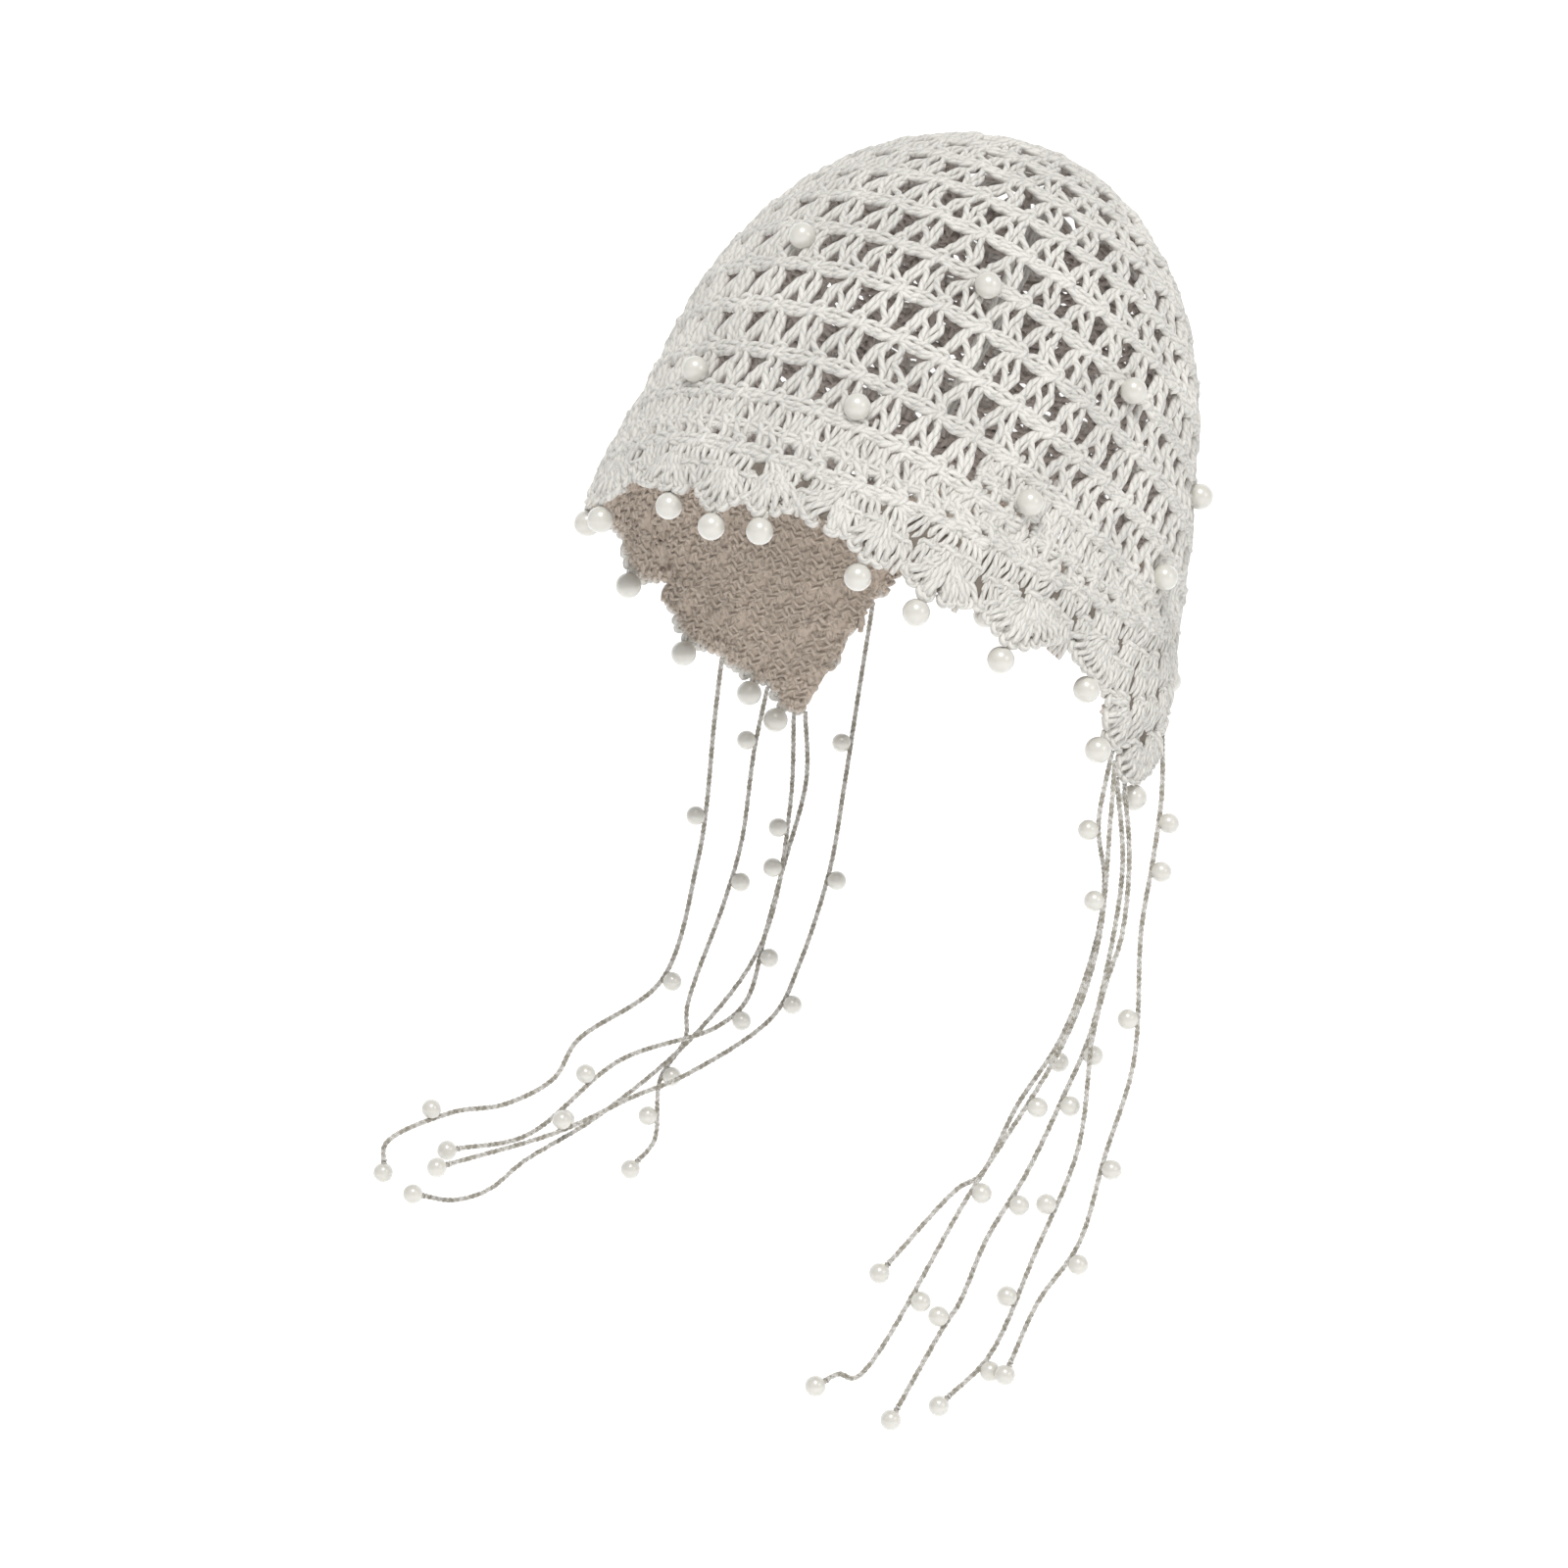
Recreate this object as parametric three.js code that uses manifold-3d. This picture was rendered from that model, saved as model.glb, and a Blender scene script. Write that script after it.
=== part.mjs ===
import * as THREE from 'three';
import { mergeVertices } from 'three/addons/utils/BufferGeometryUtils.js';
import Module from 'manifold-3d';

const wasm = await Module();
wasm.setup();

// Crocheted beanie with ear flaps, edge pearls and hanging pearl strands.
// Millimetres, +Z up. The front of the cap faces -Y and the wearer's left is +X.
// The origin is the middle of the head, level with the widest line of the cap.

// Crown size, on the outer face of the net. CAP_DEPTH is the arc length from the
// crown's centre, where the rounds begin, to the front edge.
const CAP_DEPTH = 225;
const HALF_WIDTH = 82.7;
const HALF_LENGTH = 94.6;
const HEIGHT = 105.8;
const ROUNDNESS = 2.07;
const BACKWARD_SHEAR = 0.196;
const SHEAR_SOFTNESS = 25;
const LOWER_TAPER = 0.335;
const WALL = 3.2;
const GAP = 0.3;
const SEAM_GAP = 0.55;

// The rounds are worked about an axis that leans back
const AXIS_LEAN = THREE.MathUtils.degToRad(35.1);

// Outward flare of the edge: turn in degrees from the front, amount as a share of BRIM_FLARE
const BRIM_FLARE = 17;
const FLARE_START_ANGLE = 92;
const FLARE_FULL_ANGLE = 128;
const FLARE = [
  { turn: 0, out: 1 },
  { turn: 40, out: 1 },
  { turn: 75, out: 0.529 },
  { turn: 105, out: 0.176 },
  { turn: 135, out: 0.353 },
  { turn: 150, out: 0.412 },
  { turn: 180, out: 0.176 },
];

// Seam between net and fan border: depth is a share of CAP_DEPTH, here and in the tables below
const SEAM = [
  { turn: 0, depth: 0.9156 },
  { turn: 30, depth: 0.92 },
  { turn: 55, depth: 0.8933 },
  { turn: 85, depth: 0.8533 },
  { turn: 110, depth: 0.8178 },
  { turn: 130, depth: 0.7644 },
  { turn: 150, depth: 0.6356 },
  { turn: 180, depth: 0.6044 },
];

// Fans of the border: depth of each tip, dip of the edge before the next one,
// and degrees by which a pearl hangs aside
const FANS = [
  { turn: -158, depth: 0.7022, dip: 0.0133, pearl: true },
  { turn: -138.6, depth: 0.7067, dip: 0, pearl: false },
  { turn: -135.8, depth: 0.7822, dip: 0, pearl: false },
  { turn: -134.6, depth: 0.9556, dip: 0, pearl: false },
  { turn: -131, depth: 0.9689, dip: 0.0178, pearl: true, aside: 1.2 },
  { turn: -122, depth: 0.9533, dip: 0.0133, pearl: true },
  { turn: -100, depth: 0.9689, dip: 0.0489, pearl: true },
  { turn: -75, depth: 0.9467, dip: 0.0178, pearl: true },
  { turn: -58, depth: 0.9244, dip: 0.0133, pearl: false },
  { turn: -42, depth: 0.9644, dip: 0.0222, pearl: true },
  { turn: -24, depth: 1, dip: 0.0222, pearl: true },
  { turn: -1, depth: 0.9911, dip: 0.0178, pearl: true },
  { turn: 10.6, depth: 1.0111, dip: 0.02, pearl: true },
  { turn: 21, depth: 1, dip: 0.0222, pearl: true },
  { turn: 33, depth: 0.9889, dip: 0.0133, pearl: false },
  { turn: 43, depth: 1.0022, dip: 0.0222, pearl: true },
  { turn: 58, depth: 0.9978, dip: 0.0267, pearl: true },
  { turn: 83, depth: 0.9733, dip: 0.04, pearl: true },
  { turn: 109, depth: 0.92, dip: 0.0267, pearl: true },
  { turn: 121, depth: 0.9756, dip: 0.0133, pearl: true },
  { turn: 131, depth: 1.0089, dip: 0, pearl: false },
  { turn: 137, depth: 0.9956, dip: 0, pearl: true, aside: 2.5 },
  { turn: 140.6, depth: 0.9644, dip: 0, pearl: false },
  { turn: 144.6, depth: 0.8, dip: 0.0089, pearl: true, aside: 12 },
  { turn: 158, depth: 0.7067, dip: 0.0133, pearl: true, aside: 1.5 },
  { turn: 180, depth: 0.6933, dip: 0.0133, pearl: true },
];
const COLUMNS_PER_FAN = 4;
const BORDER_ROWS = 2;

// Net: ring depths as shares of the seam's depth, and how many columns pass from gap to gap
const NET_RINGS = [0.107, 0.194, 0.243, 0.325, 0.374, 0.461, 0.510, 0.597, 0.646, 0.733, 0.782, 0.869, 0.917];
const NET_PITCHES = 22;
const GAP_SHARE = 0.43;
const GAP_LEAN_ANGLE = 3.2;
const NET_START_ANGLE = 12;
const GAP_ROWS = [
  { ring: 1, every: 2 },
  { ring: 3, every: 2 },
  { ring: 5, every: 1 },
  { ring: 7, every: 1 },
  { ring: 9, every: 1 },
  { ring: 11, every: 1 },
];

// Pearls sewn on the crown
const PEARL_RADIUS = 4.15;
const PEARL_SIT = 1.9;
const POCKET_SIDES = 6;
const POCKET_MARGIN = 7.5;
const CROWN_PEARLS = [
  { turn: 3, depth: 0.5911 },
  { turn: 43, depth: 0.5733 },
  { turn: 82.7, depth: 0.5689 },
  { turn: 127, depth: 0.5778 },
  { turn: 172, depth: 0.4711 },
  { turn: -60, depth: 0.5822 },
  { turn: -97, depth: 0.5733 },
  { turn: -134, depth: 0.5689 },
  { turn: -6.7, depth: 0.8133 },
  { turn: 30, depth: 0.8178 },
  { turn: 69, depth: 0.8044 },
  { turn: 115.5, depth: 0.7378 },
  { turn: -64, depth: 0.8 },
  { turn: -93, depth: 0.7822 },
  { turn: -122, depth: 0.7378 },
];

// Pearls on short loops under the fan tips
const LOOP_RADIUS = 0.9;
const LOOP_LENGTH = 0.85;
const TIP_GAP = 0.7;
const DROOP = 0.3;

// Hanging strands: a crocheted chain with pearls beside it and one at its end
const CORD_RADIUS = 1.1;
const CORD_SIDES = 5;
const TIE_GAP = 1.2;
const STRAND_PEARL = 3.25;
const PEARL_BITE = 1.2;
const FACING = new THREE.Vector3(0.68, -0.71, 0.16).normalize();
const STRANDS = [
  {
    name: 'strand_left_a',
    tie: 125,
    steps: 18,
    route: [
      [76, 0, -105], [72, 8, -125], [65, 12, -147], [61, 1, -175],
      [56, -14, -195], [52, -27, -216], [50, -35, -219], [42, -60, -241],
    ],
    pearls: [[0.13, 1], [0.55, -1]],
  },
  {
    name: 'strand_left_b',
    tie: 127.6,
    steps: 20,
    route: [
      [79, 2, -105], [72, 5, -145], [68, -5, -173], [54, -35, -221],
      [43, -74, -273], [41, -80, -271], [39, -85, -273],
    ],
    pearls: [[0.2, 1], [0.5, -1], [0.64, -1], [0.81, -1]],
  },
  {
    name: 'strand_left_c',
    tie: 130.4,
    steps: 20,
    route: [
      [76, 12, -119], [74, 10, -143], [71, 3, -173], [68, -7, -193], [64, -19, -215],
      [60, -33, -234], [57, -42, -253], [55, -47, -260], [50, -64, -285],
    ],
    pearls: [[0.41, -1], [0.49, -1], [0.65, -1], [0.85, 1]],
  },
  {
    name: 'strand_left_d',
    tie: 133.2,
    steps: 18,
    route: [
      [77, 14, -118], [80, 7, -141], [79, 1, -155], [78, -4, -171], [75, -7, -207],
      [69, -20, -239], [64, -36, -270], [59, -51, -282],
    ],
    pearls: [[0.66, 1], [0.81, 1], [0.92, -1]],
  },
  {
    name: 'strand_left_e',
    tie: 142.6,
    steps: 20,
    route: [
      [72, 36, -100], [80, 22, -119], [83, 13, -139], [83, 10, -181], [80, 0, -210],
      [79, -11, -236], [75, -26, -253], [72, -36, -272],
    ],
    pearls: [[0.16, -1], [0.24, -1], [0.46, 1], [0.68, -1], [0.82, -1]],
  },
  {
    name: 'strand_right_a',
    tie: -112,
    steps: 22,
    route: [
      [-83, -8, -89], [-90, -5, -120], [-94, -5, -137], [-98, -18, -176], [-109, -47, -194],
      [-112, -55, -206], [-118, -72, -213], [-125, -89, -214], [-133, -111, -222], [-133, -112, -229],
    ],
    pearls: [[0.24, 1], [0.48, -1], [0.89, 1]],
  },
  {
    name: 'strand_right_b',
    tie: -125.5,
    clear: 1.0,
    steps: 16,
    route: [
      [-79, 7, -99], [-83, 5, -130], [-87, 1, -150], [-92, -12, -185], [-92, -13, -196],
      [-95, -22, -209], [-96, -24, -230], [-98, -31, -237],
    ],
    pearls: [[0.11, 1], [0.39, -1], [0.8, -1], [0.89, 1]],
  },
  {
    name: 'strand_right_c',
    tie: -133,
    steps: 22,
    route: [
      [-69, 14, -117], [-75, 7, -163], [-87, -12, -193], [-99, -47, -218], [-109, -72, -231],
      [-113, -84, -239], [-117, -96, -241], [-121, -107, -238],
    ],
    pearls: [[0.17, 1], [0.23, 1]],
  },
  {
    name: 'strand_right_d',
    tie: -134.5,
    steps: 18,
    route: [
      [-72, 25, -110], [-75, 17, -139], [-77, 10, -162], [-77, 1, -183], [-81, -9, -191],
      [-93, -43, -199], [-105, -74, -221], [-114, -98, -223],
    ],
    pearls: [[0.39, -1], [0.49, -1], [0.75, 1], [0.82, -1]],
  },
  {
    name: 'strand_right_e',
    tie: -136.6,
    steps: 22,
    route: [
      [-67, 45, -84], [-62, 33, -112], [-63, 27, -140], [-67, 16, -172], [-70, 7, -188],
      [-80, -26, -205], [-86, -43, -210], [-95, -69, -219], [-109, -107, -226],
    ],
    pearls: [[0.18, 1], [0.35, -1], [0.51, -1], [0.84, 1]],
  },
];

const YARN = new THREE.Color(0xe6e0d4);
const PEARL = new THREE.Color(0xf1efe8);
const yarnMaterial = () => new THREE.MeshStandardMaterial({ color: YARN, roughness: 0.95, metalness: 0 });
const pearlMaterial = () => new THREE.MeshStandardMaterial({ color: PEARL, roughness: 0.25, metalness: 0 });

// Smooth reading of a short table that runs from the front to the back
function readTable(table, key, turnDeg) {
  const t = Math.abs(((turnDeg + 540) % 360) - 180);
  let k = 0;
  while (k < table.length - 2 && t > table[k + 1].turn) k += 1;
  const slope = (i) => {
    const a = table[Math.max(i - 1, 0)];
    const b = table[Math.min(i + 1, table.length - 1)];
    if (i === 0 || i === table.length - 1) return 0;
    return (b[key] - a[key]) / (b.turn - a.turn);
  };
  const a = table[k];
  const b = table[k + 1];
  const w = b.turn - a.turn;
  const x = (t - a.turn) / w;
  const h0 = (1 + 2 * x) * (1 - x) * (1 - x);
  const h1 = x * (1 - x) * (1 - x);
  const h2 = x * x * (3 - 2 * x);
  const h3 = x * x * (x - 1);
  return h0 * a[key] + h1 * w * slope(k) + h2 * b[key] + h3 * w * slope(k + 1);
}

// Direction from the origin at a turn about the leaning axis and an angle from its top
function direction(turn, polar) {
  const x = Math.sin(polar) * Math.sin(turn);
  const y = -Math.sin(polar) * Math.cos(turn);
  const z = Math.cos(polar);
  const c = Math.cos(AXIS_LEAN);
  const s = Math.sin(AXIS_LEAN);
  return new THREE.Vector3(x, c * y + s * z, -s * y + c * z);
}

// How far outside the crown's form a point lies, below zero inside it
function crownField(p) {
  const soft = (Math.sqrt(p.z * p.z + SHEAR_SOFTNESS ** 2) + p.z - SHEAR_SOFTNESS) / 2;
  const y = p.y - BACKWARD_SHEAR * soft;
  const rise = Math.abs(p.z / HEIGHT);
  const cap = p.z > 0 ? rise ** ROUNDNESS : LOWER_TAPER * rise * rise;
  return Math.abs(p.x / HALF_WIDTH) ** ROUNDNESS + Math.abs(y / HALF_LENGTH) ** ROUNDNESS + cap - 1;
}

// Outer face of the cap
function capPoint(turn, polar) {
  const d = direction(turn, polar);
  let near = 0;
  let far = 2 * (HALF_LENGTH + HEIGHT);
  for (let i = 0; i < 30; i += 1) {
    const mid = (near + far) / 2;
    if (crownField(d.clone().multiplyScalar(mid)) < 0) near = mid;
    else far = mid;
  }
  const p = d.multiplyScalar((near + far) / 2);
  const t = (THREE.MathUtils.radToDeg(polar) - FLARE_START_ANGLE) / (FLARE_FULL_ANGLE - FLARE_START_ANGLE);
  const share = t <= 0 ? 0 : t < 1 ? t * t * (2 - t) : t;
  const out = new THREE.Vector3(p.x / HALF_WIDTH ** 2, p.y / HALF_LENGTH ** 2, 0).normalize();
  return p.addScaledVector(out, BRIM_FLARE * readTable(FLARE, 'out', THREE.MathUtils.radToDeg(turn)) * share);
}

// Arc length from the crown's centre down one meridian, kept for each turn
const meridians = new Map();
function meridian(turnDeg) {
  const key = turnDeg.toFixed(4);
  if (!meridians.has(key)) {
    const turn = THREE.MathUtils.degToRad(turnDeg);
    const rows = [{ polar: 0, depth: 0 }];
    let last = capPoint(turn, 0);
    for (let k = 1; k <= 100; k += 1) {
      const polar = THREE.MathUtils.degToRad(k * 1.5);
      const p = capPoint(turn, polar);
      rows.push({ polar, depth: rows[k - 1].depth + p.distanceTo(last) });
      last = p;
    }
    meridians.set(key, rows);
  }
  return meridians.get(key);
}

function polarAt(turnDeg, depth) {
  const rows = meridian(turnDeg);
  let k = 1;
  while (k < rows.length - 1 && rows[k].depth < depth) k += 1;
  const a = rows[k - 1];
  const b = rows[k];
  return a.polar + ((b.polar - a.polar) * (depth - a.depth)) / (b.depth - a.depth);
}

// Outward direction of the cap's face
function capNormal(turnDeg, depth) {
  const turn = THREE.MathUtils.degToRad(turnDeg);
  const polar = Math.max(polarAt(turnDeg, depth), 0.03);
  const step = 0.02;
  const across = capPoint(turn + step, polar).sub(capPoint(turn - step, polar));
  const down = capPoint(turn, polar + step).sub(capPoint(turn, polar - step));
  return down.cross(across).normalize();
}

// A point at a turn in degrees and a depth in mm, raised off the outer face
function onCap(turnDeg, depth, raise = 0) {
  const p = capPoint(THREE.MathUtils.degToRad(turnDeg), polarAt(turnDeg, depth));
  return raise === 0 ? p : p.addScaledVector(capNormal(turnDeg, depth), raise);
}

const seamDepth = (turnDeg) => CAP_DEPTH * readTable(SEAM, 'depth', turnDeg);

// Depth of the scalloped edge between two fans
function rimDepth(k, w) {
  const a = FANS[k];
  const b = FANS[(k + 1) % FANS.length];
  const dip = a.dip * (1 - Math.abs(Math.cos(Math.PI * w)));
  return CAP_DEPTH * (a.depth + (b.depth - a.depth) * w - dip);
}

function fanTurn(k, w) {
  const a = FANS[k].turn;
  const b = FANS[(k + 1) % FANS.length].turn + (k === FANS.length - 1 ? 360 : 0);
  return a + (b - a) * w;
}

// Edge point at any turn
function rimAt(turnDeg) {
  const k = FANS.findIndex((f, i) => turnDeg >= f.turn && turnDeg < fanTurn(i, 1));
  const w = (turnDeg - FANS[k].turn) / (fanTurn(k, 1) - FANS[k].turn);
  return onCap(turnDeg, rimDepth(k, w), -WALL / 2);
}

const POCKET_RADIUS = (PEARL_RADIUS + GAP) / Math.cos(Math.PI / POCKET_SIDES);
const HANG = PEARL_RADIUS + LOOP_LENGTH;

// A wall with two faces from rings of outer and inner points, open where isGap says so
function wallGeometry(outer, inner, poles, isGap) {
  const rings = outer.length;
  const columns = outer[0].length;
  const points = [];
  const faces = [];
  outer.forEach((ring) => points.push(...ring));
  inner.forEach((ring) => points.push(...ring));
  const out = (i, j) => i * columns + (j % columns);
  const inn = (i, j) => (rings + i) * columns + (j % columns);
  const edgeWall = (i0, j0, i1, j1) => {
    faces.push([out(i0, j0), out(i1, j1), inn(i1, j1)]);
    faces.push([out(i0, j0), inn(i1, j1), inn(i0, j0)]);
  };
  for (let i = 0; i < rings - 1; i += 1) {
    for (let j = 0; j < columns; j += 1) {
      if (isGap(i, j)) {
        edgeWall(i, j, i + 1, j);
        edgeWall(i + 1, j, i + 1, j + 1);
        edgeWall(i + 1, j + 1, i, j + 1);
        edgeWall(i, j + 1, i, j);
      } else {
        faces.push([out(i, j), out(i + 1, j), out(i + 1, j + 1)]);
        faces.push([out(i, j), out(i + 1, j + 1), out(i, j + 1)]);
        faces.push([inn(i, j), inn(i + 1, j + 1), inn(i + 1, j)]);
        faces.push([inn(i, j), inn(i, j + 1), inn(i + 1, j + 1)]);
      }
    }
  }
  for (let j = 0; j < columns; j += 1) edgeWall(rings - 1, j + 1, rings - 1, j);
  if (poles) {
    points.push(poles[0], poles[1]);
    const top = points.length - 2;
    for (let j = 0; j < columns; j += 1) {
      faces.push([top, out(0, j), out(0, j + 1)]);
      faces.push([top + 1, inn(0, j + 1), inn(0, j)]);
    }
  } else {
    for (let j = 0; j < columns; j += 1) edgeWall(0, j, 0, j + 1);
  }
  return geometryFrom(points.flatMap((p) => [p.x, p.y, p.z]), faces.flat());
}

function geometryFrom(positions, index) {
  const geometry = new THREE.BufferGeometry();
  geometry.setAttribute('position', new THREE.Float32BufferAttribute(positions, 3));
  geometry.setIndex(index);
  geometry.computeVertexNormals();
  return geometry;
}

// Join and cut
function solidOf(geometry) {
  const bare = geometry.clone();
  bare.deleteAttribute('normal');
  bare.deleteAttribute('uv');
  const merged = mergeVertices(bare, 1e-4);
  return new wasm.Manifold(new wasm.Mesh({
    numProp: 3,
    vertProperties: new Float32Array(merged.attributes.position.array),
    triVerts: new Uint32Array(merged.index.array),
  }));
}

function geometryOf(solid) {
  const mesh = solid.getMesh();
  return geometryFrom(Array.from(mesh.vertProperties), Array.from(mesh.triVerts));
}

// A round bead turned about its own upright axis
function beadGeometry(radius, sides, loopTop) {
  const lathe = [[0, -radius], [0.8 * radius, -0.6 * radius], [radius, 0.05 * radius]];
  if (radius < PEARL_RADIUS) {
    lathe.splice(1, 2, [0.9 * radius, -0.48 * radius], [0.9 * radius, 0.48 * radius], [0, radius]);
  } else if (loopTop) {
    lathe.push([LOOP_RADIUS, 0.85 * radius], [LOOP_RADIUS, loopTop], [0, loopTop]);
  } else {
    lathe.push([0.76 * radius, 0.65 * radius], [0, radius]);
  }
  const profile = lathe.map(([x, y]) => new THREE.Vector2(x, y));
  return geometryOf(solidOf(new THREE.LatheGeometry(profile, sides).rotateX(Math.PI / 2)));
}

const group = new THREE.Group();
function place(geometry, name, material, position, aim) {
  const mesh = new THREE.Mesh(geometry, material);
  mesh.name = name;
  if (position) mesh.position.copy(position);
  if (aim) mesh.quaternion.setFromUnitVectors(new THREE.Vector3(0, 0, 1), aim);
  group.add(mesh);
  return mesh;
}
const two = (n) => String(n).padStart(2, '0');

// Crown net
const netColumns = 2 * NET_PITCHES;
const pitch = 360 / NET_PITCHES;
const ringShares = [...NET_RINGS, 1];
function netTurn(i, j) {
  const base = Math.floor(j / 2) * pitch + (j % 2 === 0 ? 0 : pitch * (1 - GAP_SHARE));
  return base + (i % 2 === 0 ? GAP_LEAN_ANGLE : 0) - NET_START_ANGLE;
}
function netDepth(i, turnDeg) {
  return i === ringShares.length - 1 ? seamDepth(turnDeg) - GAP / 2 : seamDepth(turnDeg) * ringShares[i];
}
const pearlSpots = CROWN_PEARLS.map((p) => onCap(p.turn, CAP_DEPTH * p.depth));
function isNetGap(i, j) {
  const row = GAP_ROWS.findIndex((r) => r.ring === i);
  if (row < 0 || j % 2 === 0) return false;
  if (((j - 1) / 2 + row) % GAP_ROWS[row].every !== 0) return false;
  const corners = [[i, j], [i + 1, j], [i, j + 1], [i + 1, j + 1]];
  const middle = new THREE.Vector3();
  corners.forEach(([a, b]) => {
    const t = netTurn(a, b);
    middle.addScaledVector(onCap(t, netDepth(a, t)), 0.25);
  });
  return pearlSpots.every((p) => p.distanceTo(middle) > POCKET_RADIUS + POCKET_MARGIN);
}
// The net's lower edge runs straight from column to column, and the border follows it
function seamLine(turnDeg) {
  const last = ringShares.length - 1;
  const t = netTurn(last, 0) + (((turnDeg - netTurn(last, 0)) % 360) + 360) % 360;
  let j = 0;
  while (j < netColumns - 1 && netTurn(last, j + 1) <= t) j += 1;
  const a = netTurn(last, j);
  const b = j === netColumns - 1 ? netTurn(last, 0) + 360 : netTurn(last, j + 1);
  return seamDepth(a) + ((seamDepth(b) - seamDepth(a)) * (t - a)) / (b - a);
}
const netOuter = [];
const netInner = [];
ringShares.forEach((share, i) => {
  const turns = Array.from({ length: netColumns }, (_, j) => netTurn(i, j));
  netOuter.push(turns.map((t) => onCap(t, netDepth(i, t))));
  netInner.push(turns.map((t) => onCap(t, netDepth(i, t), -WALL)));
});
const netPoles = [onCap(0, 0), onCap(0, 0, -WALL)];
let crown = solidOf(wallGeometry(netOuter, netInner, netPoles, isNetGap));
CROWN_PEARLS.forEach((p, k) => {
  const normal = capNormal(p.turn, CAP_DEPTH * p.depth);
  const height = 2 * WALL;
  const pocket = new THREE.CylinderGeometry(POCKET_RADIUS, POCKET_RADIUS, height, POCKET_SIDES);
  pocket.rotateX(Math.PI / 2);
  pocket.applyQuaternion(new THREE.Quaternion().setFromUnitVectors(new THREE.Vector3(0, 0, 1), normal));
  const floor = PEARL_SIT - PEARL_RADIUS - GAP;
  const at = pearlSpots[k].clone().addScaledVector(normal, floor + height / 2);
  pocket.translate(at.x, at.y, at.z);
  crown = crown.subtract(solidOf(pocket));
});
place(geometryOf(crown), 'crown_net', yarnMaterial());

// Fan border with its two ear flaps
const borderOuter = [];
const borderInner = [];
for (let i = 0; i <= BORDER_ROWS; i += 1) {
  const outer = [];
  const inner = [];
  FANS.forEach((fan, k) => {
    for (let c = 0; c < COLUMNS_PER_FAN; c += 1) {
      const w = c / COLUMNS_PER_FAN;
      const turn = fanTurn(k, w);
      const top = seamLine(turn) + SEAM_GAP;
      const depth = top + ((rimDepth(k, w) - top) * i) / BORDER_ROWS;
      outer.push(onCap(turn, depth));
      inner.push(onCap(turn, depth, -WALL));
    }
  });
  borderOuter.push(outer);
  borderInner.push(inner);
}
place(wallGeometry(borderOuter, borderInner, null, () => false), 'fan_border', yarnMaterial());

// Crown pearls
CROWN_PEARLS.forEach((p, k) => {
  const normal = capNormal(p.turn, CAP_DEPTH * p.depth);
  const at = pearlSpots[k].clone().addScaledVector(normal, PEARL_SIT);
  place(beadGeometry(PEARL_RADIUS, 10), `crown_pearl_${two(k + 1)}`, pearlMaterial(), at, normal);
});

// Edge pearls on their loops
FANS.filter((fan) => fan.pearl).forEach((fan, k) => {
  const tip = rimAt(fan.turn);
  const aside = fan.aside ?? 0;
  const fall = onCap(fan.turn + aside, CAP_DEPTH * fan.depth + HANG, -WALL / 2).sub(tip).normalize();
  fall.lerp(new THREE.Vector3(0, 0, -1), DROOP).normalize();
  const at = tip.clone().addScaledVector(fall, HANG);
  const loop = beadGeometry(PEARL_RADIUS, 10, HANG - TIP_GAP);
  place(loop, `edge_pearl_${two(k + 1)}`, pearlMaterial(), at, fall.clone().negate());
});

// Strands
STRANDS.forEach((strand) => {
  const along = rimAt(strand.tie + 0.4).sub(rimAt(strand.tie - 0.4)).normalize();
  const away = along.cross(capNormal(strand.tie, seamDepth(strand.tie))).normalize();
  const start = rimAt(strand.tie).addScaledVector(away, strand.clear ?? TIE_GAP);
  const points = [start, ...strand.route.map(([x, y, z]) => new THREE.Vector3(x, y, z))];
  const path = new THREE.CatmullRomCurve3(points, false, 'centripetal');
  const ring = new THREE.Shape(Array.from({ length: CORD_SIDES }, (_, k) => {
    const a = (2 * Math.PI * k) / CORD_SIDES;
    return new THREE.Vector2(CORD_RADIUS * Math.cos(a), CORD_RADIUS * Math.sin(a));
  }));
  const tube = new THREE.ExtrudeGeometry(ring, { steps: strand.steps, extrudePath: path, curveSegments: 1 });
  let solid = solidOf(tube);
  const bead = beadGeometry(STRAND_PEARL, 10);
  strand.pearls.forEach(([share, side]) => {
    const along = path.getTangentAt(share);
    const aside = along.clone().cross(FACING).normalize().multiplyScalar(side);
    const at = path.getPointAt(share).addScaledVector(aside, STRAND_PEARL + CORD_RADIUS - PEARL_BITE);
    solid = solid.add(solidOf(bead.clone().translate(at.x, at.y, at.z)));
  });
  const last = path.getPointAt(1).addScaledVector(path.getTangentAt(1), STRAND_PEARL - 0.7);
  solid = solid.add(solidOf(bead.clone().translate(last.x, last.y, last.z)));
  place(geometryOf(solid), strand.name, yarnMaterial());
});

export default group;
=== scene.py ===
"""A crocheted beanie with pearls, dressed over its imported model. Lengths in tables are in mm."""

import math

import bmesh
import bpy
import numpy as np
from bpy.props import FloatProperty, FloatVectorProperty, IntProperty, PointerProperty
from bpy.types import Operator, Panel, PropertyGroup
from mathutils import Matrix, Vector


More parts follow.
